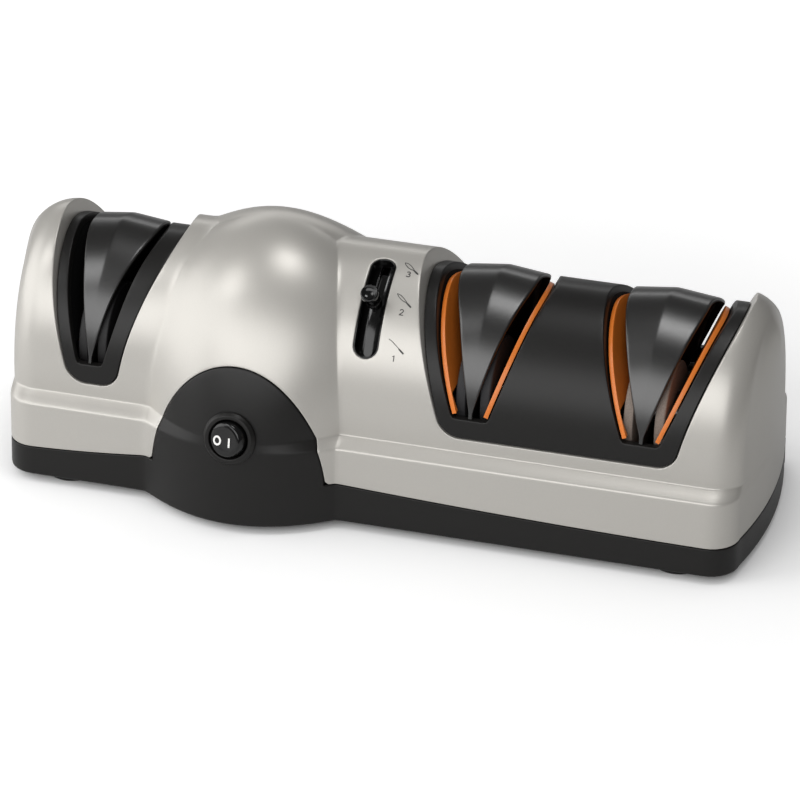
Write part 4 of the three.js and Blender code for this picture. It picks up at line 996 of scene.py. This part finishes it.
TIP = math.radians(15)
rocker_axis = SWITCH_OUT * math.cos(TIP) - SWITCH_X * math.sin(TIP)
rocker_along = SWITCH_X * math.cos(TIP) + SWITCH_OUT * math.sin(TIP)
face_r = math.sqrt(ROCKER_R ** 2 - ROCKER_H ** 2)
rocker_profile = [(0.0, ROCKER_H - 0.25), (2.5, ROCKER_H - 0.22), (5.0, ROCKER_H - 0.1),
                  (face_r - 0.5, ROCKER_H)]
rocker_profile += [(math.sqrt(ROCKER_R ** 2 - h * h) * 0.998, h)
                   for h in np.linspace(ROCKER_H - 0.3, -3.2, 14)]
rocker_profile += [(6.5, -3.6), (0.0, -3.6)]
verts, faces = turned(rocker_profile, SWITCH, rocker_axis, 96)
piece("rocker_cap", verts, faces, gloss_abs, "rocker", "gloss_black", ["switch_rocker"], sharp=50)


# %% Marks on the rocker
INK = 0.12


def flat_mark(name, outer_edge, inner_edge):
    """A printed ring between two closed lines of (x, y), which stands proud of the rocker's face."""
    corners = ((outer_edge, -INK), (outer_edge, INK), (inner_edge, INK), (inner_edge, -INK))
    verts, faces = swept([[SWITCH + rocker_along * x + SWITCH_UP * y + rocker_axis * (ROCKER_H + level)
                           for x, y in edge] for edge, level in corners], closed=True)
    piece(name, verts, faces, white_ink, "rocker", "gloss_black")


turns = np.linspace(0, 2 * math.pi, 40, endpoint=False)
flat_mark("mark_off", *[[(-3.6 + wide * math.cos(a), -0.8 + high * math.sin(a)) for a in turns]
                        for wide, high in ((2.0, 2.2), (1.15, 1.35))])
flat_mark("mark_on", *[[(left, low), (right, low), (right, high), (left, high)]
                       for left, right, low, high in ((2.0, 2.85, -2.9, 1.3), (2.41, 2.44, -2.8, 1.2))])

# %% [markdown]
# ## The blade selector
# A gloss-black liner stands in the curved slot, with a bowed strip at its bottom. The knob's neck runs
# in a slit along the strip. A bowed shutter moves with the knob and covers the slot below it, and a
# thin band under the strip covers the slit above it. All of them are drawn about the lever's axle.

# %% Selector strip
TRACK_MARGIN, TRACK_WALL, SLIT, LINER_WALL, LINER_TOP = 3.0, 1.2, 1.9, 0.7, 0.35
STRIP_R, SHUTTER_R, BAND_R = 53.7, 54.9, 51.2
STRIP_BOW, STRIP_HALF, SHUTTER_HALF, BAND_HALF = 1.6, 5.2, SELECTOR_HALF - LINER_WALL - 0.35, 3.4
NECK_ROOM, NECK_AHEAD = 3.8, 1.8
NECK_WIDTH, LINER_FOOT, LINER_EDGE = 5.0, STRIP_R - 1.2, 0.2
TRACK_ROUND, TRACK_EDGE, SHUTTER_BOW, SHUTTER_WALL, BAND_WALL = 0.25, 1.0, 1.7, 0.9, 0.6
# How far the shutter and the band reach up and down from the knob, in radians
SHUTTER_TURN, BAND_TURN = (-0.075, 0.54), (-0.31, 0.05)
SWING = SLOT_REACH - (2 * SELECTOR_HALF + NECK_WIDTH) / PIVOT_R / 2


def about_axle(x, turn, radius):
    """Points at a turn and a radius about the lever's axle."""
    y, z = PIVOT_Y + radius * np.cos(turn), PIVOT_Z + radius * np.sin(turn)
    return np.stack(np.broadcast_arrays(x, y, z), axis=-1)


def skin_radius(turn):
    """How far the silver arch lies from the lever's axle, found by halving."""
    low, high = np.full_like(turn, 30.0), np.full_like(turn, 90.0)
    for _ in range(40):
        radius = (low + high) / 2
        _, y, z = np.moveaxis(about_axle(0.0, turn, radius), -1, 0)
        up = np.clip(z - LEDGE_HIGH, 0, None) / ARCH_HEIGHT
        over = (np.abs(y) / ARCH_DEPTH) ** DEPTH_POWER + up ** HEIGHT_POWER > 1
        low, high = np.where(over, low, radius), np.where(over, radius, high)
    return low


def keep_track(p):
    """The slit runs further up than down, because the lever leans up from its rest."""
    past, off = beyond(p, SLOT_MIDDLE - NECK_AHEAD / STRIP_R, SWING + NECK_ROOM / STRIP_R)
    turn = np.arctan2(p[:, 2] - PIVOT_Z, p[:, 1] - PIVOT_Y)
    ends = TRACK_MARGIN + (SLOT_REACH - np.abs(turn - SLOT_MIDDLE)) * PIVOT_R
    sides = SELECTOR_HALF + TRACK_MARGIN - np.abs(off)
    return np.minimum.reduce([sides, np.hypot(off, past) - SLIT, ends])


def bowed_grid(radius):
    x = np.linspace(-10, 10, 41)[None, :]
    turn = np.linspace(SLOT_LOW + 0.14, SLOT_HIGH - 0.12, 120)[:, None]
    bow = STRIP_BOW * np.clip(np.abs(x) / STRIP_HALF, 0, 1.1) ** 2
    return about_axle(SELECTOR_X + x, turn, radius - bow)


verts, faces = trimmed_shell(bowed_grid(STRIP_R), bowed_grid(STRIP_R - TRACK_WALL), keep_track,
                             TRACK_ROUND, TRACK_EDGE, wrap=False, thickness=TRACK_WALL)
piece("selector_strip", verts, faces, gloss_abs, "casing", "gloss_black", ["selector_track"])


# %% Selector liner
def stadium(half, steps=24):
    """The slot's outline as x and turn, a closed line."""
    ease = half / PIVOT_R
    high, low = SLOT_HIGH + SELECTOR_HALF / PIVOT_R, SLOT_LOW - SELECTOR_HALF / PIVOT_R
    arc = np.linspace(0, math.pi, steps)
    side = np.linspace(0, 1, 40)[1:-1]
    straight = np.full(len(side), half)
    x = np.concatenate([half * np.cos(arc), -straight, -half * np.cos(arc), straight])
    turn = np.concatenate([high - ease * np.sin(arc), high + (low - high) * side,
                           low + ease * np.sin(arc), low + (high - low) * side])
    return SELECTOR_X + x, turn


def outline_column(half, sink=0.0, radius=None):
    """The outline at a depth under the silver arch, or at a radius about the axle."""
    x, turn = stadium(half)
    return about_axle(x, turn, skin_radius(turn) - sink if radius is None else radius)


outside, within = SELECTOR_HALF - 0.08, SELECTOR_HALF - LINER_WALL
liner = [outline_column(outside, radius=LINER_FOOT), outline_column(outside, LINER_TOP + LINER_EDGE),
         outline_column(outside - LINER_EDGE, LINER_TOP), outline_column(within + LINER_EDGE, LINER_TOP),
         outline_column(within, LINER_TOP + LINER_EDGE), outline_column(within, radius=LINER_FOOT)]
verts, faces = swept(liner, closed=True)
piece("selector_liner", verts, faces, gloss_abs, "casing", "gloss_black")


# %% Shutter, neck and band
def bowed_bar(radius, bow, half, reach, thickness):
    """A bowed bar about the lever's axle, with rounded long edges."""
    turn = SLOT_MID + np.linspace(*reach, 60)
    x = np.sin(np.linspace(-1, 1, 21) * math.pi / 2) * half
    roof = radius - bow * (x / half) ** 2
    shape = [(a, b) for a, b in zip(x, roof)] + [(a, b - thickness) for a, b in zip(x[::-1], roof[::-1])]
    return swept([about_axle(SELECTOR_X + a, turn, b) for a, b in shape])


def joined(*solids):
    """Several solids as one set of points and faces."""
    verts, faces, count = [], [], 0
    for points, polygons in solids:
        verts.append(np.asarray(points))
        faces += [[v + count for v in polygon] for polygon in polygons]
        count += len(points)
    return np.concatenate(verts), faces


knob_axis = np.array([0, math.cos(SLOT_MID), math.sin(SLOT_MID)])
neck = turned([(0.0, 52.0), (3.0, 52.0), (3.0, 56.6), (2.7, 57.4), (2.7, 59.5), (0.0, 59.5)],
              (SELECTOR_X, PIVOT_Y, PIVOT_Z), knob_axis, 48)
verts, faces = joined(
    bowed_bar(SHUTTER_R, SHUTTER_BOW, SHUTTER_HALF, SHUTTER_TURN, SHUTTER_WALL),
    bowed_bar(BAND_R, 0.0, BAND_HALF, BAND_TURN, BAND_WALL), neck)
piece("selector_shutter", verts, faces, gloss_abs, "selector", "gloss_black")

# %% Selector knob
KNOB_FOOT, KNOB_H = PIVOT_R + 0.6, 8.6
top = KNOB_FOOT + KNOB_H
knob_profile = [(0.0, top - 1.15), (1.2, top - 1.1), (2.2, top - 0.85), (2.9, top - 0.4)]
knob_profile += arc_points((3.45, top - 0.45), 0.45, 130, 0, 7)
knob_profile += [(3.95, top - 0.9), (3.95, top - 2.6), (3.7, top - 3.2), (3.1, top - 4.4),
                 (2.9, top - 6.0), (3.0, KNOB_FOOT + 0.5), (3.3, KNOB_FOOT), (0.0, KNOB_FOOT)]
verts, faces = turned(knob_profile, (SELECTOR_X - 0.3, PIVOT_Y, PIVOT_Z), knob_axis, 64)
piece("selector_button", verts, faces, gloss_abs, "selector", "gloss_black", ["selector_knob"], sharp=50)

# %% [markdown]
# ## Marks beside the selector
# Three small knives, from thick at the top to thin at the bottom, say what each place of the knob is
# for, and plain numbers stand under them. Each mark is a set of strokes, laid on the arch.


# %% Strokes on the arch
def on_arch(x, degrees):
    """A place on the silver arch: u runs to the right and v up the arch, in millimetres."""
    start, step = math.radians(degrees), 1e-4

    def point_and_run(phi):
        (y0, z0), (y1, z1) = (arch(np.array(phi + k * step), ARCH_DEPTH, ARCH_HEIGHT) for k in (0, 1))
        return y0, z0, y1 - y0, z1 - z0, math.hypot(y1 - y0, z1 - z0)

    rate = point_and_run(start)[4] / step

    def place(u, v, level):
        y, z, dy, dz, run = point_and_run(start + v / rate)
        return np.array([x + u, y - dz / run * level, z + dy / run * level])

    return place


def stroke(points, widths, place):
    """A printed stroke along a line, as wide as widths says at each point."""
    line = np.array(points, float)
    widths = np.broadcast_to(widths, len(line))
    ahead = np.gradient(line, axis=0)
    ahead /= np.linalg.norm(ahead, axis=1, keepdims=True)
    across = np.stack([-ahead[:, 1], ahead[:, 0]], axis=1)
    sides = [line + across * (widths / 2)[:, None] * k for k in (1, -1)]
    corners = [(sides[0], -INK), (sides[0], INK), (sides[1], INK), (sides[1], -INK)]
    return swept([np.array([place(u, v, level) for u, v in side]) for side, level in corners])


def spline(points, steps=10):
    """A smooth line through points, by Catmull and Rom's rule."""
    p = [points[0]] + list(points) + [points[-1]]
    line = []
    for ends in zip(p, p[1:], p[2:], p[3:]):
        for t in np.linspace(0, 1, steps, endpoint=False):
            line.append([0.5 * (2 * b + (c - a) * t + (2 * a - 5 * b + 4 * c - d) * t * t
                                + (3 * b - a - 3 * c + d) * t ** 3) for a, b, c, d in zip(*ends)])
    return line + [list(points[-1])]


NUMERALS = {
    "1": [[(-0.55, 0.75), (0.1, 1.3), (0.1, -1.3)]],
    "2": [spline([(-0.8, 0.75), (-0.35, 1.22), (0.35, 1.2), (0.7, 0.65), (0.3, -0.1), (-0.45, -0.8),
                  (-0.8, -1.2)]), [(-0.95, -1.2), (0.9, -1.2)]],
    "3": [spline([(-0.8, 0.95), (-0.2, 1.28), (0.5, 1.1), (0.6, 0.5), (0.15, 0.12), (-0.2, 0.05)]),
          spline([(-0.2, 0.05), (0.35, 0.0), (0.8, -0.5), (0.55, -1.1), (-0.2, -1.28), (-0.85, -0.95)])],
}


def knife_icon(gap, place):
    """A blade of a given width in outline, and a solid handle, from upper left to lower right."""
    solids = [stroke([(1.3, -0.95), (2.4, -1.8), (3.7, -2.8)], [0.55, 0.8, 0.7], place)]
    upper = [(-3.6, 2.7), (-2.2, 1.95 + gap * 0.55), (-0.4, 0.55 + gap * 0.75), (1.4, -0.85 + gap * 0.2)]
    lower = [(-3.6, 2.7), (-2.6, 1.6 - gap * 0.45), (-0.9, 0.2 - gap * 0.45), (1.3, -1.0)]
    solids.append(stroke(spline(upper), 0.3, place))
    if gap:
        solids.append(stroke(spline(lower), 0.3, place))
    return solids


# %% Marks
for name, gap, number, icon_at, number_at in (
        ("thick", 1.0, "3", (9.2, 74.1), (8.8, 70.1)), ("medium", 0.6, "2", (10.0, 56.2), (10.1, 50.6)),
        ("thin", 0.0, "1", (10.4, 36.3), (10.0, 31.4))):
    solids = knife_icon(gap, on_arch(*icon_at))
    solids += [stroke(line, 0.4, on_arch(*number_at)) for line in NUMERALS[number]]
    verts, faces = joined(*solids)
    piece(f"mark_{name}_blades", verts, faces, dark_ink, "casing", "silver")

# %% [markdown]
# ## Feet and base screws
# Four equal feet and four equal screws stand at the corners of a rectangle. A Geometry Nodes tree puts
# one turned shape on the four corners of a grid, with its sizes as named inputs.


# %% Geometry Nodes tree for four corners
def corner_tree(name, sizes, build):
    """build makes the shape from the tree's sizes, which are in metres."""
    tree, size = start_tree(name, {"Reach X": 0.1, "Reach Y": 0.04, "Foot Z": 0.0, **sizes})
    grid = node(tree, "GeometryNodeMeshGrid", Size_X=size["Reach X"], Size_Y=size["Reach Y"],
                Vertices_X=2, Vertices_Y=2)
    spot = node(tree, "ShaderNodeCombineXYZ", X=0.0, Y=SHIFT[1] * MM, Z=size["Foot Z"])
    lifted = node(tree, "GeometryNodeTransform", Geometry=grid.outputs["Mesh"], Translation=spot.outputs[0])
    shape = build(tree, size)
    placed = node(tree, "GeometryNodeInstanceOnPoints", Points=lifted.outputs["Geometry"], Instance=shape)
    return end_tree(tree, size, placed.outputs["Instances"])


def standing(tree, radius_low, radius_high, height, sides=48):
    """A tapered disc that stands on the floor."""
    return node(tree, "GeometryNodeMeshCone", Vertices=sides, Radius_Bottom=radius_low,
                Radius_Top=radius_high, Depth=height).outputs["Mesh"]


def carved(tree, body, tools):
    """The body with every tool cut out of it."""
    cut = node(tree, "GeometryNodeMeshBoolean", {"operation": "DIFFERENCE"})
    tree.links.new(body, cut.inputs["Mesh 1"])
    for tool in tools:
        tree.links.new(tool, cut.inputs["Mesh 2"])
    return cut.outputs["Mesh"]


def build_foot(tree, size):
    disc = standing(tree, size["Radius"], size["Top Radius"], size["Height"], 64)
    dish = standing(tree, size["Dish Radius"], size["Dish Radius"], size["Dish Depth"])
    sunk = node(tree, "GeometryNodeTransform", Geometry=dish, Translation=(0, 0, -0.0002))
    return carved(tree, disc, [sunk.outputs["Geometry"]])


foot_tree = corner_tree("four_feet", {"Radius": 0.0114, "Top Radius": 0.012, "Height": 0.0032,
                                      "Dish Radius": 0.004, "Dish Depth": 0.0012}, build_foot)
grown("rubber_feet", foot_tree, {"Reach X": 0.276, "Reach Y": 0.084, "Foot Z": 0.0}, foot_rubber,
      "casing", "rubber", [f"rubber_foot_{i}" for i in (1, 2, 3, 4)], bevel=0.4)


def build_screw(tree, size):
    head = standing(tree, size["Head Radius"], size["Head Radius"], size["Head Height"])
    arms = []
    for x, y in (("Slot Length", "Slot Width"), ("Slot Width", "Slot Length")):
        flat = node(tree, "ShaderNodeCombineXYZ", X=size[x], Y=size[y], Z=size["Head Height"])
        arms.append(node(tree, "GeometryNodeMeshCube", Size=flat.outputs[0]).outputs["Mesh"])
    return carved(tree, head, arms)


screw_tree = corner_tree("four_screws", {"Head Radius": 0.0034, "Head Height": 0.0019, "Slot Length": 0.0036,
                                         "Slot Width": 0.0009}, build_screw)
grown("base_screw_heads", screw_tree,
      {"Reach X": 2 * POST_X * MM, "Reach Y": 2 * POST_Y * MM, "Foot Z": 0.00365}, zinc_plate,
      "casing", "steel", [f"base_screw_{i}" for i in (1, 2, 3, 4)], bevel=0.12)

# %% [markdown]
# ## The cord gland
# The photograph shows no cord. At the rear the moulded bushing shows where it comes out.

# %% Cord gland
GLAND = (-120.0, 0.0, 12.0)
gland = [(3.4, HALF_DEPTH - 5.0), (5.0, HALF_DEPTH - 5.0), (5.0, HALF_DEPTH + 0.3)]
for r, out, radius, begin, end, steps in ((6.9, 0.9, 0.6, -90, 0, 4), (6.4, 1.5, 1.1, 0, 90, 6),
                                          (4.0, 2.0, 0.6, 90, 180, 5)):
    gland += arc_points((r, HALF_DEPTH + out), radius, begin, end, steps)
verts, faces = turned(gland, GLAND, (0, 1, 0), 64)
piece("cord_bushing", verts, faces, foot_rubber, "casing", "rubber", ["cord_gland"], sharp=50)

# %% [markdown]
# ## Floor, light and camera
# The photograph was taken on white with large soft lamps. The floor is pale and keeps the shadow. What
# the camera sees of it is raised to white in its material, so no extra light falls on the object.

# %% Floor and world
# The lift grows away from the object and is weaker close to it, and the occlusion term below takes more off
# it where the floor is near the object, so both paint a contact shadow on top of the real one
floor_mesh = bpy.data.meshes.new("studio_floor")
floor_mesh.from_pydata([(-6, -6, 0), (6, -6, 0), (6, 6, 0), (-6, 6, 0)], [], [(0, 1, 2, 3)])
floor = add_object("studio_floor", floor_mesh)
paper = bpy.data.materials.new("white_paper_sweep")
paper.use_nodes = True
tree = paper.node_tree
shader = tree.nodes["Principled BSDF"]
shader.inputs["Base Color"].default_value = (0.8, 0.8, 0.8, 1)
shader.inputs["Roughness"].default_value = 0.9
rays = node(tree, "ShaderNodeLightPath").outputs
from_middle = node(tree, "ShaderNodeVectorMath", {"operation": "LENGTH"},
                   i0=node(tree, "ShaderNodeTexCoord").outputs["Object"]).outputs["Value"]
away = node(tree, "ShaderNodeMapRange", {"interpolation_type": "SMOOTHSTEP"}, Value=from_middle,
            From_Min=0.2, From_Max=0.6, To_Min=0.42, To_Max=0.92)
# Painted contact shadow: the camera's view of the floor darkens where the object stands close above it
near = node(tree, "ShaderNodeAmbientOcclusion", {"samples": 16}, Distance=0.12)
lift = rays["Is Camera Ray"]
for share in (away.outputs["Result"], near.outputs["AO"]):
    lift = node(tree, "ShaderNodeMath", {"operation": "MULTIPLY"}, i0=lift, i1=share).outputs[0]
tree.links.new(lift, shader.inputs["Emission Strength"])
shader.inputs["Emission Color"].default_value = (1, 1, 1, 1)
floor_mesh.materials.append(paper)

world = bpy.data.worlds.new("studio")
bpy.context.scene.world = world
world.use_nodes = True
tree = world.node_tree
back = tree.nodes["Background"]
rays = node(tree, "ShaderNodeLightPath").outputs
WORLD_LIGHT, WORLD_SEEN = 0.13, 1.0
seen = node(tree, "ShaderNodeMath", {"operation": "MULTIPLY_ADD"}, i0=rays["Is Camera Ray"],
            i1=WORLD_SEEN - WORLD_LIGHT, i2=WORLD_LIGHT)
tree.links.new(seen.outputs[0], back.inputs["Strength"])
back.inputs["Color"].default_value = (1, 1, 1, 1)

# %% Lamps
# Each lamp is a name, a place, a width and a height in metres, and its watts
MIDDLE = Vector((0, 0, 0.06))
for name, place, size, watts in (
        ("left_softbox", (-1.45, -0.45, 0.6), (1.6, 1.1), 12),
        ("front_softbox", (-0.15, -1.34, 0.82), (1.9, 0.9), 14.5),
        ("upper_left_softbox", (-0.72, -0.42, 1.08), (0.4, 0.4), 2.3),
        ("overhead_softbox", (0.1, 0.02, 1.3), (0.35, 0.4), 3.0),
        ("back_softbox", (-0.4, 1.35, 0.74), (1.4, 0.45), 2.8)):
    data = bpy.data.lights.new(name, "AREA")
    data.shape, data.size, data.size_y, data.energy = "RECTANGLE", *size, watts
    lamp = add_object(name, data)
    lamp.location = place
    lamp.rotation_euler = (MIDDLE - Vector(place)).to_track_quat("-Z", "Y").to_euler()

# %% Camera
TARGET = Vector((0.00073, 0.00705, 0.03447))
AZIMUTH, ELEVATION, DISTANCE = math.radians(16.62), math.radians(29.38), 2.018
level = math.cos(ELEVATION)
backward = Vector((math.sin(AZIMUTH) * level, -math.cos(AZIMUTH) * level, math.sin(ELEVATION)))
camera_data = bpy.data.cameras.new("camera")
camera_data.lens, camera_data.sensor_width = 206.1, 36.0
camera = add_object("camera", camera_data)
camera.location = TARGET + backward * DISTANCE
camera.rotation_euler = backward.to_track_quat("Z", "Y").to_euler()
bpy.context.scene.camera = camera

# %% Colour
bpy.context.scene.view_settings.view_transform = "Standard"
